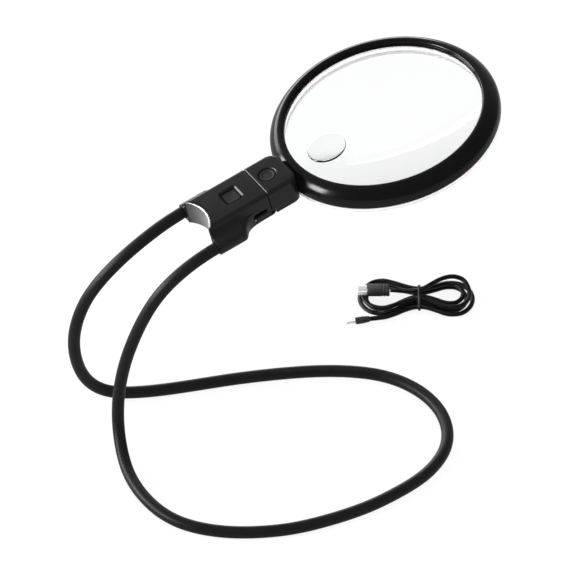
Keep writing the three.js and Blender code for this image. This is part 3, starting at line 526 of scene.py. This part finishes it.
def new_tree(name, **kinds):
    """A node tree with named inputs, each known by its identifier, and a function that adds its nodes."""
    tree = bpy.data.node_groups.new(name, "GeometryNodeTree")
    ids = {
        title: tree.interface.new_socket(title, in_out="INPUT", socket_type="NodeSocket" + kind).identifier
        for title, kind in kinds.items()
    }
    tree.interface.new_socket("Made", in_out="OUTPUT", socket_type="NodeSocketGeometry")
    add = adder(tree)
    return (tree, ids), add, add("NodeGroupInput").outputs


def end_tree(add, given, made):
    """Makes what the tree placed real, and gives it its finish."""
    real = add("GeometryNodeRealizeInstances", made)
    add("NodeGroupOutput", add("GeometryNodeSetMaterial", Geometry=real, Material=given["Finish"]))


def swept_tree():
    """Sweeps a round section along a line, and flattens it on the table."""
    grower, add, given = new_tree(
        "swept_tube", Line="Geometry", Radius="Float", Sides="Int", Table="Float", Finish="Material"
    )
    line = add("GeometryNodeMeshToCurve", Mesh=given["Line"])
    circle = add("GeometryNodeCurvePrimitiveCircle", Resolution=given["Sides"], Radius=given["Radius"])
    sweep = add("GeometryNodeCurveToMesh", Curve=line, Profile_Curve=circle, Fill_Caps=True)
    place = add("ShaderNodeSeparateXYZ", add("GeometryNodeInputPosition")).outputs
    height = add("ShaderNodeMath", place["Z"], given["Table"], operation="MAXIMUM")
    whole = add("ShaderNodeCombineXYZ", place["X"], place["Y"], height)
    end_tree(add, given, add("GeometryNodeSetPosition", Geometry=sweep, Position=whole))
    return grower


def evaluated(item):
    """The mesh that an object's modifiers make."""
    bpy.context.view_layer.update()
    return bpy.data.meshes.new_from_object(item.evaluated_get(bpy.context.evaluated_depsgraph_get()))


def grown(name, points, edges, grower, values, body, replaced, place=None, sharp=35):
    """A plain piece that a node tree makes from points and edges."""
    tree, ids = grower
    seed = bpy.data.meshes.new("work")
    seed.from_pydata(points, edges, [])
    carrier = linked("work", seed)
    modifier = carrier.modifiers.new("grown", "NODES")
    modifier.node_group = tree
    for title, value in values.items():
        modifier[ids[title]] = value
    mesh = evaluated(carrier)
    bpy.data.objects.remove(carrier)
    mesh.name = name
    if place:
        mesh.transform(place)
    return added(name, mesh, body, replaced, sharp)


def dress(material, *names):
    """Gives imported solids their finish."""
    for name in names:
        frame["nodes"][name].material_slots[0].material = material


neck_rubber = plain_finish(
    "neck_rubber", (0.007, 0.007, 0.0074), 0.42, grain=0.08, grain_scale=1300, specular=0.13
)
wire_steel = plain_finish("wire_steel", (0.50, 0.51, 0.52), 0.3, metallic=1.0, grain=0.15)
ferrule_brass = plain_finish("ferrule_brass", (0.58, 0.40, 0.15), 0.3, metallic=1.0, grain=0.1)
grown(
    "neck_tube", neck_line, [(i, i + 1) for i in range(len(neck_line) - 1)], swept_tree(),
    {"Radius": tube_radius * mm, "Sides": tube_sides, "Table": 0.0, "Finish": neck_rubber},
    "root", ["neck_tube_sleeve"], sharp=28,
)
dress(wire_steel, "neck_tube_core")
dress(ferrule_brass, "ferrule_left", "ferrule_right")

# Body housing.
# A hollow moulding in black plastic with a fine grain. Two wings swell out at its rear end to hold the tube,
# and run out in round noses. Its rear is hollowed, and openings are cut for the button, port and light pipe.
body_half = 13.5
body_top, body_low = 11.3, -4.5
edge_radius = 2.2
body_wall = 1.8
boss_radius = 4.5
nose_shares = [
    (15.5, 1), (16.4, 0.985), (17.4, 0.92), (18.6, 0.77), (20, 0.56), (21.6, 0.37), (23.4, 0.23), (25.6, 0.12),
    (28.2, 0.05), (31, 0.015), (33.5, 0),
]
nose_weight = 10
seam_gap = 0.4
fit = 0.3
socket_depth, socket_flare = 16, 0.12
well_low = 7
scoop_depth = 5
scoop_radius = (scoop_depth**2 + body_half**2) / (2 * scoop_depth)
scoop_x = scoop_depth - scoop_radius
trim_thickness = 1.2
trim_pocket_half = body_half - 0.2
window_x, window_length, window_width, window_radius, window_flare = 22.4, 10.4, 11, 1.8, 0.9
port_x, port_z, port_length, port_height, port_depth = 31, 0.6, 8.6, 2.6, 4
pipe_x, pipe_z, pipe_hole = 27.3, -1.9, 0.85
knuckle_radius, knuckle_half = 2.2, 6.2
pin_radius, pin_fit = 0.9, 0.15
roof = body_top - body_wall
cavity_half = body_half - body_wall
cavity_rear, cavity_front = 8.3, 34.6
port_room_rear, port_room_front, port_room_inner, port_room_top = 26.05, 35.95, -4.4, 2.55
below, above = -7, 14
beyond = body_half + 2


def bend(radius, steps):
    """A rounded edge, from its side to its end face: how far short of the end each point is, and how far in."""
    turns = [i / steps * pi / 2 for i in range(steps + 1)]
    return [(radius * (1 - sin(t)), radius * (1 - cos(t))) for t in turns]


def bezier(a, b, c, d, steps):
    """Points on a curve from a to d, without a."""
    points = []
    for i in range(1, steps + 1):
        t = i / steps
        weights = ((1 - t) ** 3, 3 * t * (1 - t) ** 2, 3 * t**2 * (1 - t), t**3)
        points.append(tuple(sum(w * p[k] for w, p in zip(weights, (a, b, c, d))) for k in (0, 1)))
    return points


def wing_side():
    """The wing's outline on one side: round the tube, then in and up to the body's top edge."""
    turns = [radians(-90 + 12 * i) for i in range(16)]
    boss = [(half_spacing + boss_radius * cos(t), boss_radius * sin(t)) for t in turns]
    swell = (body_top - boss_radius) / 4
    low = boss_radius + swell / 2
    edge = (body_half, body_top - edge_radius)
    return boss + bezier(boss[-1], (half_spacing - swell, boss_radius), (body_half + swell, low), edge, 12)


def body_section(swelling, inset):
    """The body's outline across, with its wings swollen by a share, and drawn in by inset."""
    side = [(body_half + swelling * (y - body_half), z) for y, z in wing_side()]
    side += [(body_half - inwards, body_top - short) for short, inwards in bend(edge_radius, 8)[1:]]
    ring = side + [(-y, z) for y, z in reversed(side)]
    middle, half_height = (body_top + body_low) / 2, (body_top - body_low) / 2
    narrow, flat = 1 - inset / side[0][0], 1 - inset / half_height
    return [(y * narrow, middle + (z - middle) * flat) for y, z in ring]


def body_skin():
    """The body's outside, from its rear face to the seam."""
    front = body_length - seam_gap / 2
    noses = through([(x, nose_weight * share, 0) for x, share in nose_shares], 3)
    stations = [(0, 1, 0.3), (0.08, 1, 0.12), (0.3, 1, 0)] + [(x, 1, 0) for x in range(1, 16)]
    stations += [(p.x, max(0, p.y / nose_weight), 0) for p in noses]
    stations += [(35.5, 0, 0), (front - 0.35, 0, 0), (front - 0.1, 0, 0.1), (front, 0, 0.35)]
    return skinned([[(x, y, z) for y, z in body_section(share, inset)] for x, share, inset in stations])


def box(x0, x1, y0, y1, z0, z1):
    return skinned([[(x0, y0, z), (x1, y0, z), (x1, y1, z), (x0, y1, z)] for z in (z0, z1)])


def bar(axis, radius, low, high, u, v):
    """A round bar along an axis, at a place across it."""
    solid = drawn(axis, [(low, 0), (high, 0)], disc(radius, 12))
    solid.transform(shift({"X": (0, u, v), "Y": (u, 0, v), "Z": (u, v, 0)}[axis]))
    return solid


def hinge_bar(radius, low, high):
    """A round bar on the hinge's axis."""
    return bar("Y", radius, low, high, body_length, hinge_height)


def flared(axis, low, high, flare, outline, place, steps=4):
    """A cutting tool whose mouth, at high, opens out in a small edge and runs on past it."""
    sign = 1 if high > low else -1
    mouth = [(high - sign * short, out) for short, out in bend(flare, steps)]
    solid = drawn(axis, [(low, 0), *mouth, (high + sign * 2, flare)], outline)
    solid.transform(shift(place))
    return solid


def shaped(solid, cuts=(), adds=()):
    """A solid with others joined to it, and then others cut out of it."""
    work = [linked("work", meshed("work", shape)) for shape in (solid, *adds, *cuts)]
    for i, tool in enumerate(work[1:]):
        modifier = work[0].modifiers.new("shape", "BOOLEAN")
        modifier.object = tool
        modifier.operation = "UNION" if i < len(adds) else "DIFFERENCE"
        modifier.solver = "EXACT"
    done = evaluated(work[0])
    result = bmesh.new()
    result.from_mesh(done)
    for item in work:
        bpy.data.objects.remove(item)
    bpy.data.meshes.remove(done)
    return result


def scoop_wall(radius, half_width, low, high, rear):
    """A block whose front face is part of the scoop's cylinder."""
    last = asin(half_width / radius)
    arc = [last * (i / 24 - 1) for i in range(49)]
    ring = [(scoop_x + radius * cos(t), radius * sin(t)) for t in arc]
    ring += [(rear, half_width), (rear, -half_width)]
    return skinned([[(x, y, z) for x, y in ring] for z in (low, high)])


def body_solid():
    """The skin with its knuckles joined to it, and its hollows and openings cut out."""
    bore, knuckle_room = disc(tube_radius + fit), knuckle_half + fit
    window = tile(window_length - window_flare, window_width - window_flare, window_radius - window_flare / 2)
    inside = port_depth - body_half
    cuts = [
        scoop_wall(scoop_radius + trim_thickness + fit, trim_pocket_half, below, above, -2),
        box(cavity_rear, cavity_front, -cavity_half, cavity_half, below, roof),
        box(port_room_rear, port_room_front, -cavity_half - fit, port_room_inner, below, port_room_top),
        flared("X", socket_depth, 0, socket_flare, bore, (0, half_spacing, 0)),
        flared("X", socket_depth, 0, socket_flare, bore, (0, -half_spacing, 0)),
        flared("Z", well_low, body_top, window_flare, window, (window_x, 0, 0), steps=1),
        flared("Y", inside, -body_half, 0.4, tile(port_length, port_height, 1), (port_x, 0, port_z)),
        flared("Y", inside, -body_half, 0.1, disc(pipe_hole, 4), (pipe_x, 0, pipe_z)),
        hinge_bar(knuckle_radius + fit, -knuckle_room, knuckle_room),
        hinge_bar(pin_radius + pin_fit, -beyond, beyond),
    ]
    adds = [hinge_bar(knuckle_radius, side * knuckle_room, side * body_half) for side in (-1, 1)]
    return shaped(body_skin(), cuts, adds)


housing_black = plain_finish(
    "housing_black", (0.007, 0.007, 0.0074), 0.34, grain=0.12, grain_scale=1400, specular=0.28, mottle=0.1
)
finished("body_shell", body_solid(), cradle, housing_black, "root", ["body_housing"])
dress(housing_black, "body_bottom_cover", "inner_frame")

# Rear trim.
# A bright pressed plate, bent to the hollow of the body's rear and let into a pocket there. Its chamfered top
# edge shows as a thin bright arc, and its face is brushed up and down. Its colour is painted darker towards the
# far side, a painted reflection that fades across it.
trim_half = body_half - 0.5
trim_high = body_top - 0.2
trim_soft, trim_chamfer = 0.3, 0.35
# How dark the painted reflection leaves the trim's far side, as a share of its colour.
trim_painted_shade = 0.18


def trim_solid():
    """The plate: rings across it from one side to the other, with soft top and bottom edges."""
    inner, outer = scoop_radius, scoop_radius + trim_thickness
    outline = [
        (inner, body_low + trim_soft), (inner, trim_high - trim_chamfer), (inner + trim_chamfer, trim_high),
        (outer - trim_soft, trim_high), (outer, trim_high - trim_soft), (outer, body_low + trim_soft),
        (outer - trim_soft, body_low), (inner + trim_soft, body_low),
    ]
    across = [trim_half * (i / 32 - 1) for i in range(65)]
    return skinned([[(scoop_x + sqrt(r**2 - y**2), y, z) for r, z in outline] for y in across])


def brushed_metal(name, color, roughness, stroke, far_side, near_side):
    """Polished metal with fine strokes, and a painted reflection: its colour is painted darker towards its far
    side.
    """
    material, add = new_material(name)
    place = add("ShaderNodeTexCoord").outputs["Object"]
    stretched = add("ShaderNodeMapping", place, Scale=stroke)
    strokes = add("ShaderNodeTexNoise", Vector=stretched, Scale=1.0, Detail=3.0)
    tone = add("ShaderNodeMixRGB", strokes, (*[c * 0.9 for c in color], 1), (*color, 1))
    across = add("ShaderNodeSeparateXYZ", place).outputs["Y"]
    # Painted reflection: the colour is multiplied darker towards the far side by place alone, not by any lamp.
    painted_shade = add("ShaderNodeMapRange", Value=across, From_Min=far_side, From_Max=near_side, To_Min=trim_painted_shade)
    shaded = add("ShaderNodeMixRGB", 1.0, tone, painted_shade, blend_type="MULTIPLY")
    gloss = add("ShaderNodeMapRange", Value=strokes, To_Min=roughness * 0.8, To_Max=roughness * 1.3)
    shader = add("ShaderNodeBsdfPrincipled", Base_Color=shaded, Roughness=gloss, Metallic=1.0)
    add("ShaderNodeOutputMaterial", Surface=shader)
    return material


trim_bright = brushed_metal(
    "trim_bright", (0.86, 0.865, 0.87), 0.42, (500, 500, 40), sockets.y + body_half * mm,
    sockets.y - body_half * mm,
)
finished("rear_trim_plate", trim_solid(), cradle, trim_bright, "root", ["rear_trim"])

# Release button and its spring.
# The cap stands a little below the body's top, dished from front to rear, on a flange that keeps it in. A steel
# coil, wound by nodes, pushes it up, and a round seat in its underside takes the coil's top when it is pressed.
flange_low, flange_top = roof - 1.4, roof - 0.3
release_gap = 2.3
release_edge = 0.35
spring_radius, spring_wire, spring_turns, spring_height, spring_foot = 2.4, 0.25, 3.0, 3.24, 4.27
seat_radius, seat_depth = spring_radius + 0.55, 1.05
button_black = plain_finish(
    "button_black", (0.014, 0.014, 0.0145), 0.5, grain=0.25, grain_scale=1100, specular=0.3, mottle=0.1
)


def release_solid():
    """The cap: rings drawn in towards its middle, which follow the dish."""
    length, width = window_length - release_gap, window_width - release_gap
    top, dish_radius = body_top - 1.3, window_length * 2
    flange, cap = tile(length + 3.7, width + 3.7, window_radius), tile(length, width, window_radius - 0.7)

    def dished(x, level):
        return level + dish_radius - sqrt(dish_radius**2 - x**2)

    rings = [[(x, y, flange_low) for x, y in flange(0)], [(x, y, flange_top) for x, y in flange(0)]]
    rings.append([(x, y, flange_top) for x, y in cap(0)])
    for short, inwards in bend(release_edge, 4):
        rings.append([(x, y, dished(x, top - short)) for x, y in cap(-inwards)])
    for share in (0.85, 0.65, 0.4, 0.15):
        rings.append([(x * share, y * share, dished(x * share, top)) for x, y in cap(-release_edge)])
    return shaped(skinned(rings), [bar("Z", seat_radius, flange_low - 1, flange_low + seat_depth, 0, 0)])


finished("release_cap", release_solid(), cradle @ shift((window_x, 0, 0)), button_black,
         "release_button", ["release_button"])


def copied(add, given, shape, **turn):
    """The shape at each of the tree's points."""
    return add("GeometryNodeInstanceOnPoints", Points=given["Points"], Instance=shape, **turn)


def spring_tree():
    """Winds a round wire up a helix at each point."""
    grower, add, given = new_tree(
        "wound_spring", Points="Geometry", Radius="Float", Turns="Float", Height="Float", Wire="Float",
        Finish="Material",
    )
    helix = add(
        "GeometryNodeCurveSpiral", Resolution=36, Rotations=given["Turns"], Start_Radius=given["Radius"],
        End_Radius=given["Radius"], Height=given["Height"],
    )
    wire = add("GeometryNodeCurvePrimitiveCircle", Resolution=12, Radius=given["Wire"])
    sweep = add("GeometryNodeCurveToMesh", Curve=helix, Profile_Curve=wire, Fill_Caps=True)
    end_tree(add, given, copied(add, given, sweep))
    return grower


spring_values = {
    "Radius": spring_radius, "Turns": spring_turns, "Height": spring_height, "Wire": spring_wire,
    "Finish": wire_steel,
}
grown("release_coil", [(window_x, 0, spring_foot)], [], spring_tree(), spring_values, "root",
      ["release_spring"], place=cradle)

# Inside the body.
# A foil cell and the charging board lie on the bottom cover under a moulded frame. The charging socket is a
# folded steel shell, and a clear plastic pipe leads the board's lamp to the side. Screws hold the cover.
dress(plain_finish("cell_foil", (0.46, 0.48, 0.5), 0.35, metallic=0.6, grain=0.4, grain_scale=300), "battery")
dress(plain_finish("board_green", (0.012, 0.10, 0.045), 0.35, grain=0.3, grain_scale=500, mottle=0.35),
      "charge_board", "stem_board", "led_ring_board")
screw_steel = plain_finish("screw_steel", (0.30, 0.31, 0.32), 0.3, metallic=1.0, grain=0.1)
dress(screw_steel, "power_switch")
dress(plain_finish("port_steel", (0.16, 0.16, 0.17), 0.35, metallic=1.0, grain=0.1), "usb_socket")
dress(plain_finish("pipe_white", (0.22, 0.22, 0.22), 0.3, mottle=0.05), "charge_indicator")
cross_length, cross_width, cross_depth = 2.2, 0.45, 0.5


def rod(add, radius, length, low=0.0):
    """A round rod with given sizes, which starts at a height and goes up."""
    upright = add("GeometryNodeMeshCylinder", Vertices=32, Radius=radius, Depth=length)
    middle = add("ShaderNodeMath", length, 0.5, low, operation="MULTIPLY_ADD")
    return add("GeometryNodeTransform", Geometry=upright, Translation=add("ShaderNodeCombineXYZ", Z=middle))


def screw_tree():
    """Puts a screw at each point: a flat round head with a cross cut in it, and a shank above it."""
    grower, add, given = new_tree(
        "cover_screws", Points="Geometry", Head="Float", Depth="Float", Shank="Float", Length="Float",
        Finish="Material",
    )
    slots = [(cross_length, cross_width, 2 * cross_depth), (cross_width, cross_length, 2 * cross_depth)]
    cross = [add("GeometryNodeMeshCube", Size=size).outputs["Mesh"] for size in slots]
    head_rod = rod(add, given["Head"], given["Depth"])
    cut = add("GeometryNodeMeshBoolean", operation="DIFFERENCE", Mesh_1=head_rod, Mesh_2=cross)
    shank = rod(add, given["Shank"], given["Length"], given["Depth"])
    whole = add("GeometryNodeJoinGeometry", Geometry=[shank, cut])
    end_tree(add, given, copied(add, given, whole))
    return grower


screw_y = 9.7
screws = screw_tree()
screw_values = {"Head": 1.9, "Depth": 0.9, "Shank": 0.9, "Length": 3.7, "Finish": screw_steel}
screw_place = cradle @ shift((0, 0, body_low))
for name, x, body, side in (("body_screws", 20.68, "root", "body"), ("stem_screws", 49.7, "head", "stem")):
    grown(name, [(x, screw_y, 0), (x, -screw_y, 0)], [], screws, screw_values, body,
          [f"{side}_screw_left", f"{side}_screw_right"], place=screw_place)

# Hinge pin.
# A dark steel pin through the knuckles of the body and the stem, sunk a little at each end, with rounded ends.
pin_half, pin_soft = 12.9, 0.2
pin_end = [(pin_half - short, -inwards) for short, inwards in bend(pin_soft, 4)]
pin_solid = drawn("Y", [(-at, grow) for at, grow in reversed(pin_end)] + pin_end, disc(pin_radius))
pin_dark = plain_finish("pin_dark", (0.05, 0.05, 0.052), 0.35, metallic=1.0, grain=0.1)
pin_place = cradle @ shift((body_length, 0, hinge_height))
finished("hinge_pin_bar", pin_solid, pin_place, pin_dark, "root", ["hinge_pin"])

# Stem housing and power button.
# The stem, in the body's black plastic, carries on the body's section with round front corners, and its front
# reaches over the head's rim. The button is a round dished cap in a well, on a flange and a plunger.
stem_end = 58
stem_corner = 6.5
seam_chamfer = 0.5
head_x = 119.5
rim_radius = 64
rim_slope = [
    (63.95, -1.2), (64, -0.4), (63.95, 0.9), (63.75, 2.3), (63.15, 3.8), (62.1, 5.3), (60.8, 6.75), (59.4, 7.9),
    (58, 8.6), (56.7, 8.8), (55.85, 8.45), (55.35, 7.8),
]
power_x, power_radius, power_flare = 45.8, 5.2, 0.45
plunger_radius, plunger_low = 1.5, 6.8
stem_cavity_rear, stem_cavity_front = 41.4, 53.4
board_room_rear, board_room_low = 39.1, 2
tongue_room_rear, tongue_half, tongue_top = 51.4, 6, 2.9
turned_steps, lens_steps, button_steps = 240, 192, 64


def turned(profile, steps, closed=False):
    """A solid of revolution about an upright axis, from pairs of radius and height."""
    rings = [[(r * cos(t), r * sin(t), z) for r, z in profile] for t in full_turn(steps)]
    return skinned(rings, looped=True, closed=closed)


def stem_solid():
    """The hollow stem: its seam chamfered, room cut for the rim, and the knuckle and its web joined on."""
    rear = body_length + seam_gap / 2
    clear = knuckle_radius + fit
    levels = [(body_low, 0)] + [(body_top - short, -inwards) for short, inwards in bend(edge_radius, 8)]
    skin = drawn("Z", levels, tile(2 * (stem_end - body_length), 2 * body_half, stem_corner))
    skin.transform(shift((body_length, 0, 0)))
    skin = shaped(skin, [box(-2, rear, -beyond, beyond, below, above)])
    seam = [
        e for e in skin.edges
        if all(abs(v.co.x - rear) < 0.001 for v in e.verts) and any(abs(f.normal.x) < 0.5 for f in e.link_faces)
    ]
    bmesh.ops.bevel(skin, geom=seam, offset=seam_chamfer, segments=1, profile=0.5, affect="EDGES",
                    clamp_overlap=False)
    rim_room = [(0, below), (rim_radius + fit, below), *[(r + 0.25, z + 0.1) for r, z in rim_slope], (0, 9)]
    rim_room = turned(rim_room, turned_steps)
    rim_room.transform(shift((head_x, 0, 0)))
    hollow = shaped(skin, [
        rim_room,
        hinge_bar(clear, -beyond, beyond),
        box(rear - 1, body_length + clear, -beyond, beyond, below, hinge_height),
        box(stem_cavity_rear, stem_cavity_front, -cavity_half, cavity_half, below, roof),
        box(board_room_rear, stem_cavity_front - 0.4, -cavity_half, cavity_half, board_room_low, roof),
        box(tongue_room_rear, stem_end + 2, -tongue_half - fit, tongue_half + fit, below, tongue_top + fit),
        flared("Z", well_low, body_top, power_flare, disc(power_radius - 0.2), (power_x, 0, 0), steps=1),
    ])
    knuckle = hinge_bar(knuckle_radius, -knuckle_half, knuckle_half)
    web_low, web_high = body_low + seam_gap, hinge_height + knuckle_radius
    web = box(body_length, 41.1, -knuckle_half, knuckle_half, web_low, web_high)
    bore = hinge_bar(pin_radius + pin_fit, -beyond, beyond)
    return shaped(hollow, [bore], [knuckle, web])


def power_solid():
    """The cap has a round groove inside its edge, as the photographed one."""
    cap, top, flange = power_radius - 0.7, body_top - 0.45, power_radius + 1
    profile = [
        (0, plunger_low), (plunger_radius, plunger_low), (plunger_radius, flange_low), (flange, flange_low),
        (flange, flange_top), (cap, flange_top), (cap, top - 0.35), (cap - 0.1, top - 0.1), (cap - 0.35, top),
        (cap - 0.9, top), (cap - 1.15, top - 0.1), (cap - 1.35, top - 0.35), (cap - 1.7, top - 0.45),
        (cap - 2.6, top - 0.4), (1, top - 0.35), (0, top - 0.35),
    ]
    return turned(profile, button_steps)


finished("stem_shell", stem_solid(), cradle, housing_black, "head", ["stem_housing"])
finished("power_cap", power_solid(), cradle @ shift((power_x, 0, 0)), button_black, "power_button",
         ["power_button"])
dress(housing_black, "stem_bottom_cover")

# Lens head's rim.
# A ring in glossy black plastic with a sloping outer side, open below, which holds the lens under its lip and
# the lamps in its channel. A tongue on it goes into the stem.
aperture_radius = 55
rim_lip, rim_shoulder, rim_foot = 7.2, 2.6, -1.8
lip_low = 4.7
channel_wall, channel_inner, channel_outer = 57.5, 58.5, 62.3
head = cradle @ shift((head_x, 0, 0))


def rim_solid():
    """The rim, turned from its profile: up its outer slope, over the crest and down inside."""
    profile = [(rim_radius - 1.6, rim_foot), (rim_radius - 0.35, rim_foot), (rim_radius - 0.12, rim_foot + 0.2)]
    profile += [(p.x, p.y) for p in through([(r, z, 0) for r, z in rim_slope], 3)]
    profile += [
        (aperture_radius + 0.12, rim_lip - 0.05), (aperture_radius, rim_lip - 0.3), (aperture_radius, lip_low),
        (channel_wall, lip_low), (channel_wall, rim_foot), (channel_inner, rim_foot),
        (channel_inner, rim_shoulder), (channel_outer, rim_shoulder),
    ]
    tongue = box(-rim_radius - 5, -rim_radius + 0.8, -tongue_half, tongue_half, rim_foot + 0.3, tongue_top)
    return shaped(turned(profile, turned_steps, closed=True), adds=[tongue])


rim_black = plain_finish(
    "rim_black", (0.004, 0.004, 0.0042), 0.17, grain=0.03, grain_scale=700, specular=0.2, mottle=0.1
)
finished("head_rim", rim_solid(), head, rim_black, "head", ["head_bezel"])

# Diffuser ring, lens seal and lamps.
# The ring is a white trough of milky plastic below the rim, and eight lamps on a ring board shine down into it.
# A pale silicone seal goes round the lens's edge. Its faint glow is painted light, standing in for the light
# that reaches it through the lens.
ring_foot, ring_floor, ring_top, ring_inner_top = -5, -3.4, -2.1, -1.3
ring_wall = 1.6
seal_low, seal_ledge, seal_high = -1.1, 1.9, 4.6
seal_inner, seal_wall, seal_outer = 55.3, 56.35, 57.35
seal_profile = [
    (seal_inner, seal_low), (seal_outer, seal_low), (seal_outer, seal_high), (seal_wall, seal_high),
    (seal_wall, seal_ledge), (seal_inner, seal_ledge),
]


def ring_solid():
    """The trough, with a rounded foot and a thin groove round its outer side."""
    inner, outer = aperture_radius + 0.3, rim_radius - 0.4
    side = [(1.2, 0), (0.6, 0.15), (0.15, 0.55), (0, 1), (0.25, 1.1), (0.25, 1.25), (0, 1.35)]
    profile = [(inner + 0.2, ring_foot), *[(outer - inwards, ring_foot + up) for inwards, up in side]]
    profile += [
        (outer, ring_top), (outer - ring_wall, ring_top), (outer - ring_wall, ring_floor),
        (inner + ring_wall, ring_floor), (inner + ring_wall, ring_inner_top), (inner, ring_inner_top),
        (inner, ring_foot + 0.2),
    ]
    return turned(profile, turned_steps, closed=True)


ring_white = finish(
    "ring_white", (0.72, 0.72, 0.715), (40.0, 3.0), (0.97, 1), grain=(1600.0, 2.0, 0.0001, 0.15),
    Roughness=0.45, Subsurface_Weight=0.3, Subsurface_Scale=0.002,
)
# The seal's glow is painted light: an emission that stands in for the light coming through the lens.
seal_pale = plain_finish("gasket_grey", (0.94, 0.94, 0.93), 0.55, grain=0.1, mottle=0.02, glow=0.3)
led_phosphor = plain_finish("led_phosphor", (0.80, 0.66, 0.20), 0.35, grain=0.1, mottle=0.05)
finished("ring_diffuser", ring_solid(), head, ring_white, "head", ["diffuser_ring"])
finished("lens_seal", turned(seal_profile, lens_steps, closed=True), head, seal_pale, "head",
         ["lens_gasket"])


def lamp_tree():
    """Puts a small square lamp at each point, turned to face the middle, with its round window below."""
    grower, add, given = new_tree(
        "ring_lamps", Points="Geometry", Size="Vector", Window="Float", Step="Float", Finish="Material"
    )
    half = add("ShaderNodeVectorMath", given["Size"], (0, 0, 0.5), operation="MULTIPLY")
    block = add("GeometryNodeMeshCube", Size=given["Size"])
    raised = add("GeometryNodeTransform", Geometry=block, Translation=half)
    window = add("GeometryNodeMeshCylinder", Vertices=24, Radius=given["Window"], Depth=given["Step"])
    whole = add("GeometryNodeJoinGeometry", Geometry=[raised, window])
    turn = add("FunctionNodeAlignRotationToVector", axis="X", Vector=add("GeometryNodeInputPosition"))
    end_tree(add, given, copied(add, given, whole, Rotation=turn))
    return grower


lamp_radius, lamp_count, lamp_level = 60.45, 8, 0.2
lamp_angles = [(i + 0.5) / lamp_count * 2 * pi for i in range(lamp_count)]
lamp_points = [(lamp_radius * cos(t), lamp_radius * sin(t), 0) for t in lamp_angles]
lamp_values = {"Size": (1.6, 2.8, 0.6), "Window": 0.6, "Step": 0.4, "Finish": led_phosphor}
grown("lamp_ring", lamp_points, [], lamp_tree(), lamp_values, "head",
      [f"led_{i}" for i in range(1, lamp_count + 1)], place=head @ shift((0, 0, lamp_level)))

# Lenses.
# Both are clear plastic. The large one rises on each side and is held by its edge, in the seal under the rim's
# lip. The small stronger one is a shallow button on the large one's upper face, near the stem.
lens_edge_radius = 56.2
lens_top_edge, lens_low_edge = 4.5, 2
top_crown, low_crown, spot_crown = 2.7, 4, 1.4
spot_radius, spot_offset, spot_edge, spot_wall = 10.8, -36.5, 0.4, 0.25
spot_sink = 0.03
edge_share = 0.95


def crown_at(distance, radius, crown):
    """How high a shallow round face stands at a distance from its middle."""
    sphere = (radius**2 + crown**2) / (2 * crown)
    return sqrt(sphere**2 - distance**2) - (sphere - crown)


def lens_top(x, y):
    """The height of the large lens's upper face."""
    return lens_top_edge + crown_at(hypot(x, y), lens_edge_radius, top_crown)


def main_lens_solid():
    """Turned rings from the middle of the upper face out to the edge, and back underneath."""
    radii = [lens_edge_radius * i / 24 for i in range(25)]
    upper = [(r, lens_top(r, 0)) for r in radii]
    lower = [(r, lens_low_edge - crown_at(r, lens_edge_radius, low_crown)) for r in reversed(radii)]
    return turned(upper + lower, lens_steps)


def spot_ring(share, height):
    """Points round the small lens at a share of its radius, at a height over the large lens's face."""
    r = share * spot_radius
    ring = [(spot_offset + r * cos(t), r * sin(t)) for t in full_turn(96)]
    return [(x, y, lens_top(x, y) + height) for x, y in ring]


def spot_height(share):
    """The height of the small lens's upper face over the large one's: a crown with a rounded edge."""
    past = max(0, share - edge_share) / (1 - edge_share)
    edge = spot_edge * sqrt(max(0, 1 - past**2))
    return spot_wall + edge + crown_at(share * spot_radius, spot_radius, spot_crown)


def spot_lens_solid():
    """A shallow button whose base follows the large lens's face."""
    base = [spot_ring(share, spot_sink) for share in (0.02, 0.3, 0.55, 0.75, 0.9, 1)]
    face = [spot_ring(share, spot_height(share)) for share in (1, 0.985, 0.95, 0.88, 0.75, 0.55, 0.3, 0.02)]
    return skinned(base + face)


def clear_plastic(name, color):
    """Polished clear plastic, with a very faint waviness."""
    return finish(name, color, (25.0, 2.0), (0.99, 1), (0.0, 0.03), (25.0, 2.0, 0.0002, 0.02),
                  Transmission_Weight=1.0, IOR=1.49)


lens_clear = clear_plastic("lens_clear", (0.985, 0.99, 0.99))
spot_clear = clear_plastic("spot_clear", (0.96, 0.965, 0.965))
finished("large_lens", main_lens_solid(), head, lens_clear, "head", ["main_lens"])
finished("small_lens", spot_lens_solid(), head, spot_clear, "head", ["spot_lens"])
